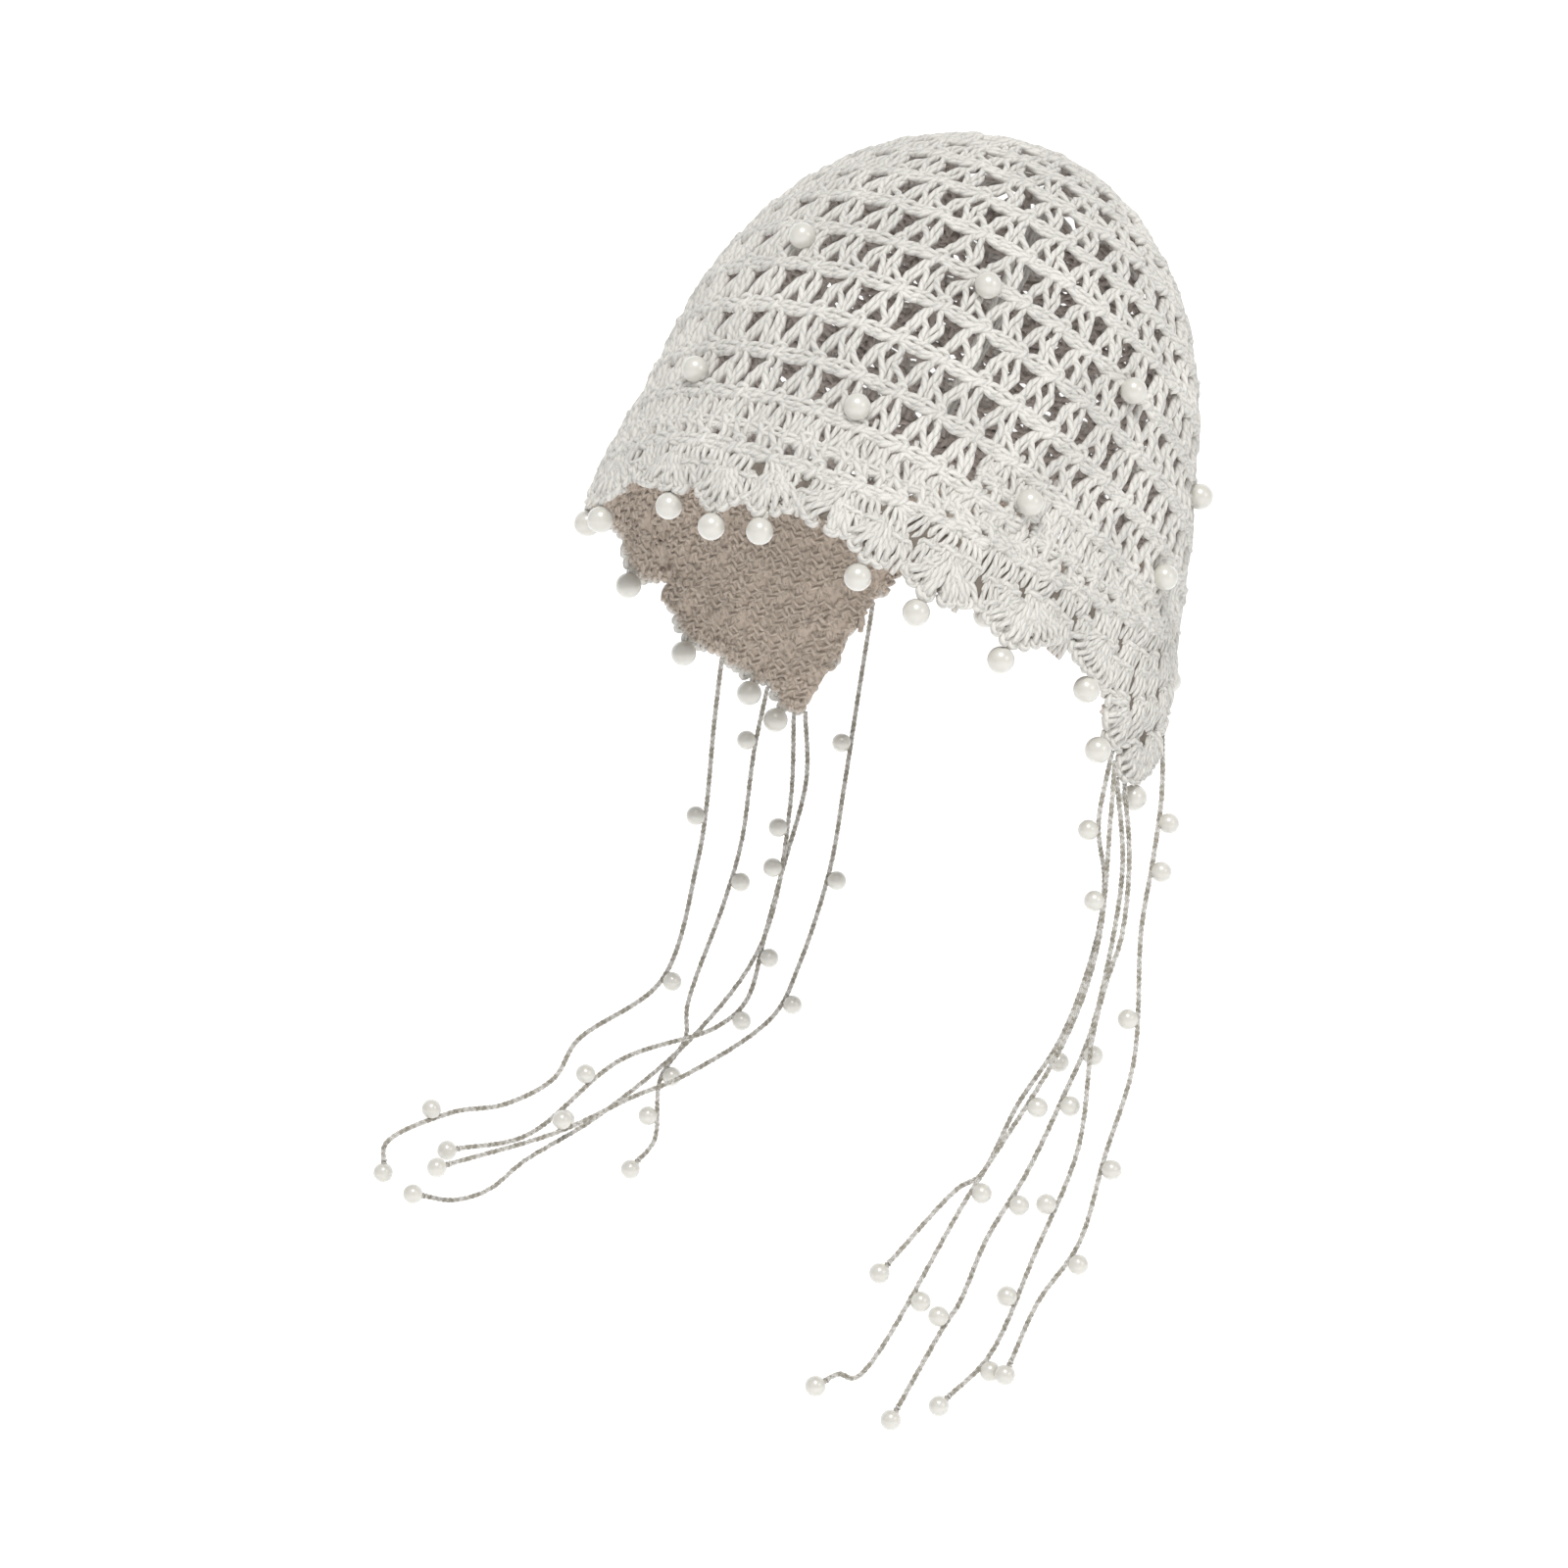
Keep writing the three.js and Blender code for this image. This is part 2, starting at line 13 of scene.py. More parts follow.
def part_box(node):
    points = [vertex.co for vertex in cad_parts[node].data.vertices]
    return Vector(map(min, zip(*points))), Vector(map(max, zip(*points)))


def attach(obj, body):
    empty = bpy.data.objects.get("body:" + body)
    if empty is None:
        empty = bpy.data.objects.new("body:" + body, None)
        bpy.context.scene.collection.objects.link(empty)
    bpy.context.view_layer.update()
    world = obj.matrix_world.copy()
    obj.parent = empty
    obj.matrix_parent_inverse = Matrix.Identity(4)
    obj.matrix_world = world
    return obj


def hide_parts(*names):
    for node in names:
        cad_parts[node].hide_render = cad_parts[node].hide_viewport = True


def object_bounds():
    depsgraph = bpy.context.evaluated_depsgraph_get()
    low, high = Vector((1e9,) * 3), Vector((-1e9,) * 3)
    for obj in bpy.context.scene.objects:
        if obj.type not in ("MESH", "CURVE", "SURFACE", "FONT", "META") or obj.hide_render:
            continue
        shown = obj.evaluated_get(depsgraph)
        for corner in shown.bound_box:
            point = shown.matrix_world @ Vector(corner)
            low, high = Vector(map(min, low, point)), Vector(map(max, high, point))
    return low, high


bl_info = {
    "name": "Crochet beanie",
    "version": (1, 0, 0),
    "blender": (4, 5, 0),
    "location": "View3D > Sidebar > Beanie",
    "description": "Crochets the net, the fan border, the ties and the pearls of a beanie",
    "category": "Add Mesh",
}

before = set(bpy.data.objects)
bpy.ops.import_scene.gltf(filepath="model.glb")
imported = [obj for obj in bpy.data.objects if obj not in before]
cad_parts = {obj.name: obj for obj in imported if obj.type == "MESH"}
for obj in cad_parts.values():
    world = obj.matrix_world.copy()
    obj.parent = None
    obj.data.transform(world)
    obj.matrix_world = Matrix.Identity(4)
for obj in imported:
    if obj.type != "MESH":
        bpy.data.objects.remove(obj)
CAD_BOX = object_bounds()
BODY = "root"
MM = 0.001

# Form of the crown's outer face, as in the part's source
HALF_WIDTH = 82.7
HALF_LENGTH = 94.6
HEIGHT = 105.8
ROUNDNESS = 2.07
BACKWARD_SHEAR = 0.196
SHEAR_SOFTNESS = 25
LOWER_TAPER = 0.335
WALL = 3.2
AXIS_LEAN = math.radians(35.1)
CAP_DEPTH = 225
BRIM_FLARE = 17
FLARE_START = 92
FLARE_FULL = 128
FLARE = [(0, 1), (40, 1), (75, 0.529), (105, 0.176), (135, 0.353), (150, 0.412), (180, 0.176)]
SEAM = [
    (0, 0.9156), (30, 0.92), (55, 0.8933), (85, 0.8533),
    (110, 0.8178), (130, 0.7644), (150, 0.6356), (180, 0.6044),
]

# Fans: turn, depth of the tip, dip of the edge before the next one, pearl or not, pearl's turn aside
FANS = [
    (-158, 0.7022, 0.0133, True, 0),
    (-138.6, 0.7067, 0, False, 0),
    (-135.8, 0.7822, 0, False, 0),
    (-134.6, 0.9556, 0, False, 0),
    (-131, 0.9689, 0.0178, True, 1.2),
    (-122, 0.9533, 0.0133, True, 0),
    (-100, 0.9689, 0.0489, True, 0),
    (-75, 0.9467, 0.0178, True, 0),
    (-58, 0.9244, 0.0133, False, 0),
    (-42, 0.9644, 0.0222, True, 0),
    (-24, 1, 0.0222, True, 0),
    (-1, 0.9911, 0.0178, True, 0),
    (10.6, 1.0111, 0.02, True, 0),
    (21, 1, 0.0222, True, 0),
    (33, 0.9889, 0.0133, False, 0),
    (43, 1.0022, 0.0222, True, 0),
    (58, 0.9978, 0.0267, True, 0),
    (83, 0.9733, 0.04, True, 0),
    (109, 0.92, 0.0267, True, 0),
    (121, 0.9756, 0.0133, True, 0),
    (131, 1.0089, 0, False, 0),
    (137, 0.9956, 0, True, 2.5),
    (140.6, 0.9644, 0, False, 0),
    (144.6, 0.8, 0.0089, True, 12),
    (158, 0.7067, 0.0133, True, 1.5),
    (180, 0.6933, 0.0133, True, 0),
]

# Ties: turn where each leaves the edge, its clearance, the route, and pearls as share and side
TIE_GAP = 1.2
PEARL_RADIUS = 4.15
STRAND_PEARL = 3.25
CORD_RADIUS = 1.1
PEARL_BITE = 1.2
FACING = (0.68, -0.71, 0.16)
TIES = {
    "strand_left_a": (125, TIE_GAP, [
        (76, 0, -105), (72, 8, -125), (65, 12, -147), (61, 1, -175),
        (56, -14, -195), (52, -27, -216), (50, -35, -219), (42, -60, -241),
    ], [(0.13, 1), (0.55, -1)]),
    "strand_left_b": (127.6, TIE_GAP, [
        (79, 2, -105), (72, 5, -145), (68, -5, -173), (54, -35, -221),
        (43, -74, -273), (41, -80, -271), (39, -85, -273),
    ], [(0.2, 1), (0.5, -1), (0.64, -1), (0.81, -1)]),
    "strand_left_c": (130.4, TIE_GAP, [
        (76, 12, -119), (74, 10, -143), (71, 3, -173), (68, -7, -193), (64, -19, -215),
        (60, -33, -234), (57, -42, -253), (55, -47, -260), (50, -64, -285),
    ], [(0.41, -1), (0.49, -1), (0.65, -1), (0.85, 1)]),
    "strand_left_d": (133.2, TIE_GAP, [
        (77, 14, -118), (80, 7, -141), (79, 1, -155), (78, -4, -171), (75, -7, -207),
        (69, -20, -239), (64, -36, -270), (59, -51, -282),
    ], [(0.66, 1), (0.81, 1), (0.92, -1)]),
    "strand_left_e": (142.6, TIE_GAP, [
        (72, 36, -100), (80, 22, -119), (83, 13, -139), (83, 10, -181), (80, 0, -210),
        (79, -11, -236), (75, -26, -253), (72, -36, -272),
    ], [(0.16, -1), (0.24, -1), (0.46, 1), (0.68, -1), (0.82, -1)]),
    "strand_right_a": (-112, TIE_GAP, [
        (-83, -8, -89), (-90, -5, -120), (-94, -5, -137), (-98, -18, -176), (-109, -47, -194),
        (-112, -55, -206), (-118, -72, -213), (-125, -89, -214), (-133, -111, -222),
        (-133, -112, -229),
    ], [(0.24, 1), (0.48, -1), (0.89, 1)]),
    "strand_right_b": (-125.5, 1.0, [
        (-79, 7, -99), (-83, 5, -130), (-87, 1, -150), (-92, -12, -185), (-92, -13, -196),
        (-95, -22, -209), (-96, -24, -230), (-98, -31, -237),
    ], [(0.11, 1), (0.39, -1), (0.8, -1), (0.89, 1)]),
    "strand_right_c": (-133, TIE_GAP, [
        (-69, 14, -117), (-75, 7, -163), (-87, -12, -193), (-99, -47, -218),
        (-109, -72, -231), (-113, -84, -239), (-117, -96, -241), (-121, -107, -238),
    ], [(0.17, 1), (0.23, 1)]),
    "strand_right_d": (-134.5, TIE_GAP, [
        (-72, 25, -110), (-75, 17, -139), (-77, 10, -162), (-77, 1, -183), (-81, -9, -191),
        (-93, -43, -199), (-105, -74, -221), (-114, -98, -223),
    ], [(0.39, -1), (0.49, -1), (0.75, 1), (0.82, -1)]),
    "strand_right_e": (-136.6, TIE_GAP, [
        (-67, 45, -84), (-62, 33, -112), (-63, 27, -140), (-67, 16, -172), (-70, 7, -188),
        (-80, -26, -205), (-86, -43, -210), (-95, -69, -219), (-109, -107, -226),
    ], [(0.18, 1), (0.35, -1), (0.51, -1), (0.84, 1)]),
}


# Sizes and colours that a user would change
def length_property(name, description, default):
    return FloatProperty(name=name, description=description, default=default, unit="LENGTH")


def colour_property(name, description, default):
    return FloatVectorProperty(
        name=name, description=description, subtype="COLOR", size=4, default=(*default, 1), min=0, max=1,
    )


class YarnSizes(PropertyGroup):
    """Yarn and stitches"""

    diameter: length_property("Yarn", "Diameter of the yarn", 0.0017)
    sides: IntProperty(name="Sides", description="Faces round the yarn", default=5, min=3)
    wander: length_property("Wander", "How far stitches stray", 0.0009)
    seed: IntProperty(name="Seed", description="Seed of the straying", default=3)


class YarnColours(PropertyGroup):
    """Colours of the cotton, and its painted shade inside the cap, between close stitches and in the ties'
    chains
    """

    outer: colour_property("Outer", "Cotton on the outer face", (0.735, 0.715, 0.675))
    # Painted shade: the darker colour of the cotton inside the crown, where shade falls
    crown_inner: colour_property("Crown inside", "Cotton inside the crown", (0.43, 0.375, 0.345))
    # Painted shade: the browner colour of the cotton inside the border and the flaps
    flap_inner: colour_property("Flap inside", "Cotton inside border and flaps", (0.61, 0.52, 0.44))
    # Painted shade: the dark colour between close stitches, on the outer face of the border's backing
    depth: colour_property("Depth", "Cotton deep between close stitches", (0.20, 0.175, 0.15))
    # Painted shade: the dark colour in the depth of the ties' chains
    tie: colour_property("Tie", "Cotton in the depth of the ties' chains", (0.40, 0.37, 0.31))


class PearlSizes(PropertyGroup):
    """Pearls on the cap and on the ties"""

    radius: length_property("Pearl", "Radius of a pearl on the cap", 0.00415)
    tie_radius: length_property("Tie pearl", "Radius of a pearl on a tie", 0.00325)
    colour: colour_property("Pearl colour", "Body colour of the pearls", (0.69, 0.675, 0.63))


class StageSettings(PropertyGroup):
    """Floor and lights"""

    floor_drop: length_property("Floor drop", "Floor below the ties' ends", 0.30)
    light: FloatProperty(name="Light", description="Strength of the soft light", default=1.0)


def settings():
    return bpy.context.scene.beanie_yarn


def unit(v):
    return v / np.linalg.norm(v, axis=-1, keepdims=True)


def arc_lengths(points):
    """Lengths along a line of points, from 0 at its start"""
    return np.concatenate([[0], np.cumsum(np.linalg.norm(np.diff(points, axis=0), axis=-1))])


# The crown's face as a function of the turn from the front and the depth from its middle
def read_table(table, turn):
    turn = np.abs((np.asarray(turn, float) + 180) % 360 - 180)
    xs = np.array([row[0] for row in table], float)
    ys = np.array([row[1] for row in table], float)
    slopes = np.zeros(len(xs))
    slopes[1:-1] = (ys[2:] - ys[:-2]) / (xs[2:] - xs[:-2])
    k = np.clip(np.searchsorted(xs, turn, side="left") - 1, 0, len(xs) - 2)
    width = xs[k + 1] - xs[k]
    t = (turn - xs[k]) / width
    near = (1 + 2 * t) * (1 - t) ** 2 * ys[k] + t * (1 - t) ** 2 * width * slopes[k]
    far = t * t * (3 - 2 * t) * ys[k + 1] + t * t * (t - 1) * width * slopes[k + 1]
    return near + far


def crown_field(p):
    soft = (np.sqrt(p[..., 2] ** 2 + SHEAR_SOFTNESS**2) + p[..., 2] - SHEAR_SOFTNESS) / 2
    y = p[..., 1] - BACKWARD_SHEAR * soft
    rise = np.abs(p[..., 2] / HEIGHT)
    cap = np.where(p[..., 2] > 0, rise**ROUNDNESS, LOWER_TAPER * rise * rise)
    return np.abs(p[..., 0] / HALF_WIDTH) ** ROUNDNESS + np.abs(y / HALF_LENGTH) ** ROUNDNESS + cap - 1


def cap_point(turn, polar):
    """Outer face at a turn and an angle from the leaning axis, both in radians, in mm"""
    turn, polar = np.broadcast_arrays(np.asarray(turn, float), np.asarray(polar, float))
    x = np.sin(polar) * np.sin(turn)
    y = -np.sin(polar) * np.cos(turn)
    z = np.cos(polar)
    c, s = math.cos(AXIS_LEAN), math.sin(AXIS_LEAN)
    d = np.stack([x, c * y + s * z, -s * y + c * z], -1)
    near = np.zeros(turn.shape)
    far = np.full(turn.shape, 2 * (HALF_LENGTH + HEIGHT))
    for _ in range(34):
        mid = (near + far) / 2
        inside = crown_field(d * mid[..., None]) < 0
        near = np.where(inside, mid, near)
        far = np.where(inside, far, mid)
    p = d * ((near + far) / 2)[..., None]
    t = (np.degrees(polar) - FLARE_START) / (FLARE_FULL - FLARE_START)
    share = np.where(t <= 0, 0, np.where(t < 1, t * t * (2 - t), t))
    out = np.stack([p[..., 0] / HALF_WIDTH**2, p[..., 1] / HALF_LENGTH**2, np.zeros(turn.shape)], -1)
    out /= np.linalg.norm(out, axis=-1, keepdims=True) + 1e-12
    return p + out * (BRIM_FLARE * read_table(FLARE, np.degrees(turn)) * share)[..., None]


class Meridians:
    """Arc lengths down the cap, tabled once"""

    def __init__(self):
        self.turns = np.arange(-180, 180, 2.5)
        self.polars = np.radians(np.arange(0, 151.5, 1.5))
        points = cap_point(np.radians(self.turns)[:, None], self.polars[None, :])
        steps = np.linalg.norm(np.diff(points, axis=1), axis=-1)
        self.depths = np.concatenate([np.zeros((len(self.turns), 1)), np.cumsum(steps, 1)], 1)

    def polar(self, turn, depth):
        turn, depth = np.broadcast_arrays(np.asarray(turn, float), np.asarray(depth, float))
        at = (turn + 180) % 360 / 2.5
        low = np.floor(at).astype(int)
        share = at - low
        found = []
        for k in (0, 1):
            rows = self.depths[(low + k) % len(self.turns)]
            flat = rows.reshape(-1, rows.shape[-1])
            wanted = depth.reshape(-1)
            cell = np.clip((flat < wanted[:, None]).sum(1), 1, flat.shape[1] - 1)
            index = np.arange(len(flat))
            a, b = flat[index, cell - 1], flat[index, cell]
            t = (wanted - a) / (b - a)
            polar = self.polars[cell - 1] + t * (self.polars[cell] - self.polars[cell - 1])
            found.append(polar.reshape(turn.shape))
        return found[0] * (1 - share) + found[1] * share


MERIDIANS = Meridians()


def cap_normal(turn, depth):
    turn, depth = np.broadcast_arrays(np.asarray(turn, float), np.asarray(depth, float))
    t = np.radians(turn)
    polar = np.maximum(MERIDIANS.polar(turn, depth), 0.03)
    step = 0.02
    across = cap_point(t + step, polar) - cap_point(t - step, polar)
    down = cap_point(t, polar + step) - cap_point(t, polar - step)
    return unit(np.cross(down, across))


def on_cap(turn, depth, rise=0.0):
    """Point in mm at a turn in degrees and a depth in mm, raised off the outer face"""
    p = cap_point(np.radians(np.asarray(turn, float)), MERIDIANS.polar(turn, depth))
    return p + cap_normal(turn, depth) * np.asarray(rise, float)[..., None]


def seam_depth(turn):
    return CAP_DEPTH * read_table(SEAM, turn)


def fan_turn(k, w):
    a = FANS[k % len(FANS)][0] + 360 * (k // len(FANS))
    b = FANS[(k + 1) % len(FANS)][0] + 360 * ((k + 1) // len(FANS))
    return a + (b - a) * w


def rim_depth(k, w):
    a = FANS[k % len(FANS)]
    b = FANS[(k + 1) % len(FANS)]
    return CAP_DEPTH * (a[1] + (b[1] - a[1]) * w - a[2] * (1 - abs(math.cos(math.pi * w))))


def rim_at_turn(turn):
    """Depth of the scalloped edge at a turn"""
    turn = (turn - FANS[0][0]) % 360 + FANS[0][0]
    k = max(i for i, fan in enumerate(FANS) if fan[0] <= turn + 1e-9)
    w = (turn - FANS[k][0]) / (fan_turn(k, 1) - FANS[k][0])
    return rim_depth(k, w)


def width_per_degree(turn, depth):
    """How many mm one degree of turn is at a depth"""
    return float(np.linalg.norm(on_cap(turn + 0.5, depth) - on_cap(turn - 0.5, depth)))


def smooth(points, parts, power=0.0):
    """A rounded line through the points, with power 0.5 as the part's source rounds its ties"""
    p = np.asarray(points, float)
    p = np.vstack([2 * p[0] - p[1], p, 2 * p[-1] - p[-2]])
    t = (np.arange(parts) / parts)[:, None]
    rows = []
    for a, b, c, d in zip(p, p[1:], p[2:], p[3:]):
        before, here, after = (max(np.linalg.norm(v) ** power, 1e-4) for v in (b - a, c - b, d - c))
        start = ((b - a) / before - (c - a) / (before + here) + (c - b) / here) * here
        end = ((c - b) / here - (d - b) / (here + after) + (d - c) / after) * here
        ends = (2 * t**3 - 3 * t**2 + 1) * b + (3 * t**2 - 2 * t**3) * c
        rows.append(ends + (t**3 - 2 * t**2 + t) * start + (t**3 - t**2) * end)
    return np.vstack([*rows, p[-2]])


# Charts of the stitches: x across in mm, y down in mm, z off the outer face in mm
ROUND = 15.7
REPEAT = 14.0


def plied_post(line, spread, turns, phase, deep=0.62):
    """Two strands side by side that cross once or so along a line, as the yarn of one post does"""
    t = np.linspace(0, 1, 8)
    fine = smooth(line, 6)
    middle = np.stack([np.interp(t, np.linspace(0, 1, len(fine)), fine[:, c]) for c in range(3)], -1)
    found = []
    for k in range(2):
        angle = 2 * math.pi * (k / 2 + phase + turns * t)
        x = middle[:, 0] + spread * np.cos(angle)
        z = middle[:, 2] + deep * np.sin(angle)
        found.append(np.stack([x, middle[:, 1], z], -1))
    return found


def net_chart(wrong_side):
    """One repeat of the net, with the small hole between its two posts in the middle"""
    mid = -1.65
    if wrong_side:
        spread = 0.95
        left = [(-6.8, -1.2, -2.2), (-4.7, 4.6, mid), (-4.9, 9.2, mid), (-6.6, 16.4, -2.0)]
        right = [(6.4, -1.2, -2.2), (4.4, 4.4, mid), (2.0, 9.4, mid), (-0.6, 16.4, -2.0)]
        over = [[(4.6, 5.0, -2.2), (6.2, 8.8, -1.2), (7.2, 12.4, -1.0), (7.0, 15.6, -1.9)]]
    else:
        spread = 1.05
        left = [(-4.6, -1.2, -2.2), (-4.5, 3.8, mid), (-5.2, 9.4, mid), (-5.8, 16.4, -2.0)]
        right = [(6.4, -1.2, -2.2), (4.6, 3.8, mid), (1.9, 9.0, mid), (-0.4, 16.4, -2.0)]
        over = [
            [(-4.8, 7.4, -2.1), (-3.4, 9.8, -0.9), (-1.6, 12.0, -0.7), (0.2, 14.4, -1.2), (0.8, 16.0, -2.1)],
            [(4.4, 4.8, -2.2), (5.6, 7.8, -0.9), (6.6, 10.8, -0.8), (6.8, 14.0, -1.1), (6.2, 16.4, -2.1)],
        ]
    chain = [
        [(-7.4, 14.9, -1.3), (-4.8, 14.3, -1.0), (-2.2, 14.9, -0.8), (0.4, 15.6, -0.8), (3.0, 14.9, -1.1),
         (5.4, 14.4, -1.0), (7.4, 14.9, -1.3)],
        [(-7.4, 16.0, -1.0), (-4.6, 16.5, -0.8), (-2.0, 16.0, -1.5), (0.6, 15.3, -2.0), (3.0, 15.9, -1.4),
         (5.4, 16.5, -0.8), (7.4, 16.0, -1.0)],
        [(-7.4, 17.1, -1.7), (-4.8, 17.4, -1.3), (-2.0, 16.8, -0.9), (0.6, 16.5, -0.8), (3.0, 17.1, -1.1),
         (5.2, 17.5, -1.5), (7.4, 17.1, -1.7)],
        [(-2.0, 16.4, -2.0), (-0.9, 13.6, -0.6), (0.8, 13.2, -0.45), (2.1, 14.3, -0.9), (0.8, 16.0, -0.5),
         (-0.8, 17.4, -0.7), (-1.9, 18.0, -2.0)],
    ]
    posts = plied_post(left, spread, 0.6, 0.1) + plied_post(right, 1.05, -0.6, 0.3)
    return posts + [smooth(line, 2) for line in chain + over]


def fill_chart():
    """Loose inner strands that draw together the holes of the far side"""
    found = []
    for k, y in enumerate((2.6, 4.9, 7.2, 9.5, 11.8)):
        swing = 0.7 if k % 2 else -0.7
        xs = (-7.2, -3.6, 0, 3.6, 7.2)
        found.append(list(zip(xs, (y, y + swing, y - swing, y + swing, y), (-2.3, -2.5, -2.3, -2.5, -2.3))))
    return found


def shell_chart():
    """A close shell of the border: strands from one foot over loose yarn, drawn between y 0 and 1"""
    found = []
    for foot, end, high in ((-1.0, -3.8, -1.2), (-0.4, -1.3, -0.8), (0.5, 1.2, -0.7), (1.0, 3.7, -1.2)):
        near, far = foot + 0.5 * (end - foot), foot + 0.85 * (end - foot)
        found.append(smooth([
            (foot, -0.2, -2.0), (near, 0.22, high - 0.25), (far, 0.6, high), (end, 0.98, high - 0.5),
            (end * 0.92, 1.2, -2.3),
        ], 2))
    found.append(smooth([
        (-4.4, 0.3, -2.3), (-3.0, 0.02, -1.2), (-0.4, 0.12, -0.5), (2.6, 0.0, -1.1), (4.4, 0.28, -2.3),
    ], 2))
    return found + [
        [(-4.4, 0.05, -2.1), (-2.2, 0.3, -2.5), (0.4, 0.1, -2.3), (2.8, 0.36, -2.5), (4.6, 0.12, -2.1)],
        [(-4.4, 0.5, -2.2), (-2.4, 0.34, -2.5), (-0.2, 0.62, -2.5), (2.2, 0.42, -2.4), (4.4, 0.68, -2.2)],
        [(-4.2, 0.95, -2.3), (-2.4, 0.68, -2.5), (0.2, 0.92, -2.4), (1.8, 0.7, -2.6), (4.4, 0.96, -2.2)],
        [(-3.2, 0.1, -2.2), (-3.7, 0.45, -1.9), (-2.7, 0.8, -2.0), (-3.1, 1.1, -2.3)],
        [(3.3, 0.0, -2.2), (2.9, 0.4, -1.9), (3.6, 0.75, -2.0), (2.9, 1.1, -2.3)],
    ]


def fan_chart():
    """One rib of a fan, drawn between y 0 at its foot and 1 at the edge, with its bump on the edge"""
    rib = [(0, -0.06, -2.1), (0.15, 0.3, -1.3), (-0.15, 0.7, -1.1), (0, 0.98, -1.7)]
    found = plied_post(rib, 0.65, 0.9, 0.1, 0.6)
    found.append(smooth([
        (-1.5, 0.86, -2.3), (-1.35, 0.99, -1.2), (0.0, 1.06, -0.8), (1.3, 1.0, -1.2), (1.6, 0.86, -2.3),
    ], 2))
    found.append([(-1.6, 0.7, -2.4), (-0.4, 0.84, -2.5), (0.7, 0.72, -2.5), (1.7, 0.86, -2.4)])
    return found


def chain_chart():
    """Three strands of an edge chain, drawn between y 0 and 1"""
    t = np.linspace(0, 1, 7)
    found = []
    for k in range(3):
        a = 2 * math.pi * (t + k / 3)
        found.append(np.stack([0.8 * np.sin(a), t, -1.5 + 0.7 * np.sin(2 * a)], -1))
    return found


def charted_curve(name, strands, scale=1.0):
    """A curve object that holds lines, with x and y divided by the scale"""
    data = bpy.data.curves.new(name, "CURVE")
    data.dimensions = "3D"
    for points in strands:
        spline = data.splines.new("POLY")
        spline.points.add(len(points) - 1)
        p = np.ones((len(points), 4))
        p[:, :3] = points
        p[:, :2] /= scale
        spline.points.foreach_set("co", p.ravel())
    return linked(name, data)


def mesh_object(name, verts, faces=(), vectors=None, floats=None, uvs=None):
    """A linked mesh object with its attributes on the points"""
    mesh = bpy.data.meshes.new(name)
    mesh.from_pydata(np.asarray(verts, float).tolist(), [], faces)
    for kind, slot, table in (("FLOAT_VECTOR", "vector", vectors), ("FLOAT", "value", floats)):
        for key, rows in (table or {}).items():
            values = np.asarray(rows, np.float32).ravel()
            mesh.attributes.new(key, kind, "POINT").data.foreach_set(slot, values)
    if uvs is not None:
        loops = np.zeros(len(mesh.loops), np.int32)
        mesh.loops.foreach_get("vertex_index", loops)
        mesh.uv_layers.new(name="UVMap").data.foreach_set("uv", np.asarray(uvs, np.float32)[loops].ravel())
    return linked(name, mesh)


def linked(name, data):
    made = bpy.data.objects.new(name, data)
    bpy.context.scene.collection.objects.link(made)
    return made


def grid_faces(rows, cols, closed=False):
    """Quads between the neighbours in a grid of points, also past its last row and column if closed"""
    i, j = np.meshgrid(np.arange(rows - (not closed)), np.arange(cols - (not closed)), indexing="ij")
    k, m = (i + 1) % rows, (j + 1) % cols
    return np.stack([i * cols + j, k * cols + j, k * cols + m, i * cols + m], -1).reshape(-1, 4).tolist()


# The former: the cap's outer face laid out over turn and depth, which the stitches follow
FORMER_TURNS = (-200.0, 200.0)
FORMER_DEPTHS = (0.0, 250.0)


def make_former():
    turns = np.linspace(*FORMER_TURNS, 201)
    depths = np.linspace(*FORMER_DEPTHS, 101)
    tt, dd = np.meshgrid(turns, depths, indexing="ij")
    safe = np.maximum(dd, 0.4)
    points = on_cap(tt, safe) * MM
    normals = cap_normal(tt, np.maximum(safe, 2.0))
    uv = np.stack([
        (tt - FORMER_TURNS[0]) / (FORMER_TURNS[1] - FORMER_TURNS[0]),
        (dd - FORMER_DEPTHS[0]) / (FORMER_DEPTHS[1] - FORMER_DEPTHS[0]),
    ], -1)
    made = mesh_object(
        "former", points.reshape(-1, 3), grid_faces(*tt.shape), {"outward": normals.reshape(-1, 3)},
        uvs=uv.reshape(-1, 2),
    )
    made.hide_render = True
    return made


# Node trees
CHARTS = 3
STRAY_SCALE = 0.21
STRAY_REACH = (3.0, 3.0, 1.3)


class Nodes:
    """The nodes of one tree"""

    def __init__(self, group):
        self.group = group

    def fill(self, socket, value):
        if isinstance(value, bpy.types.NodeSocket):
            self.group.links.new(value, socket)
        else:
            socket.default_value = value

    def add(self, kind, values=None, **options):
        """Adds a node and links or fills its sockets"""
        node = self.group.nodes.new(kind)
        for key, value in options.items():
            setattr(node, key, value)
        for key, value in (values or {}).items():
            self.fill(node.inputs[key], value)
        return node

    def math(self, operation, a, b=0.0):
        return self.add("ShaderNodeMath", {0: a, 1: b}, operation=operation).outputs[0]


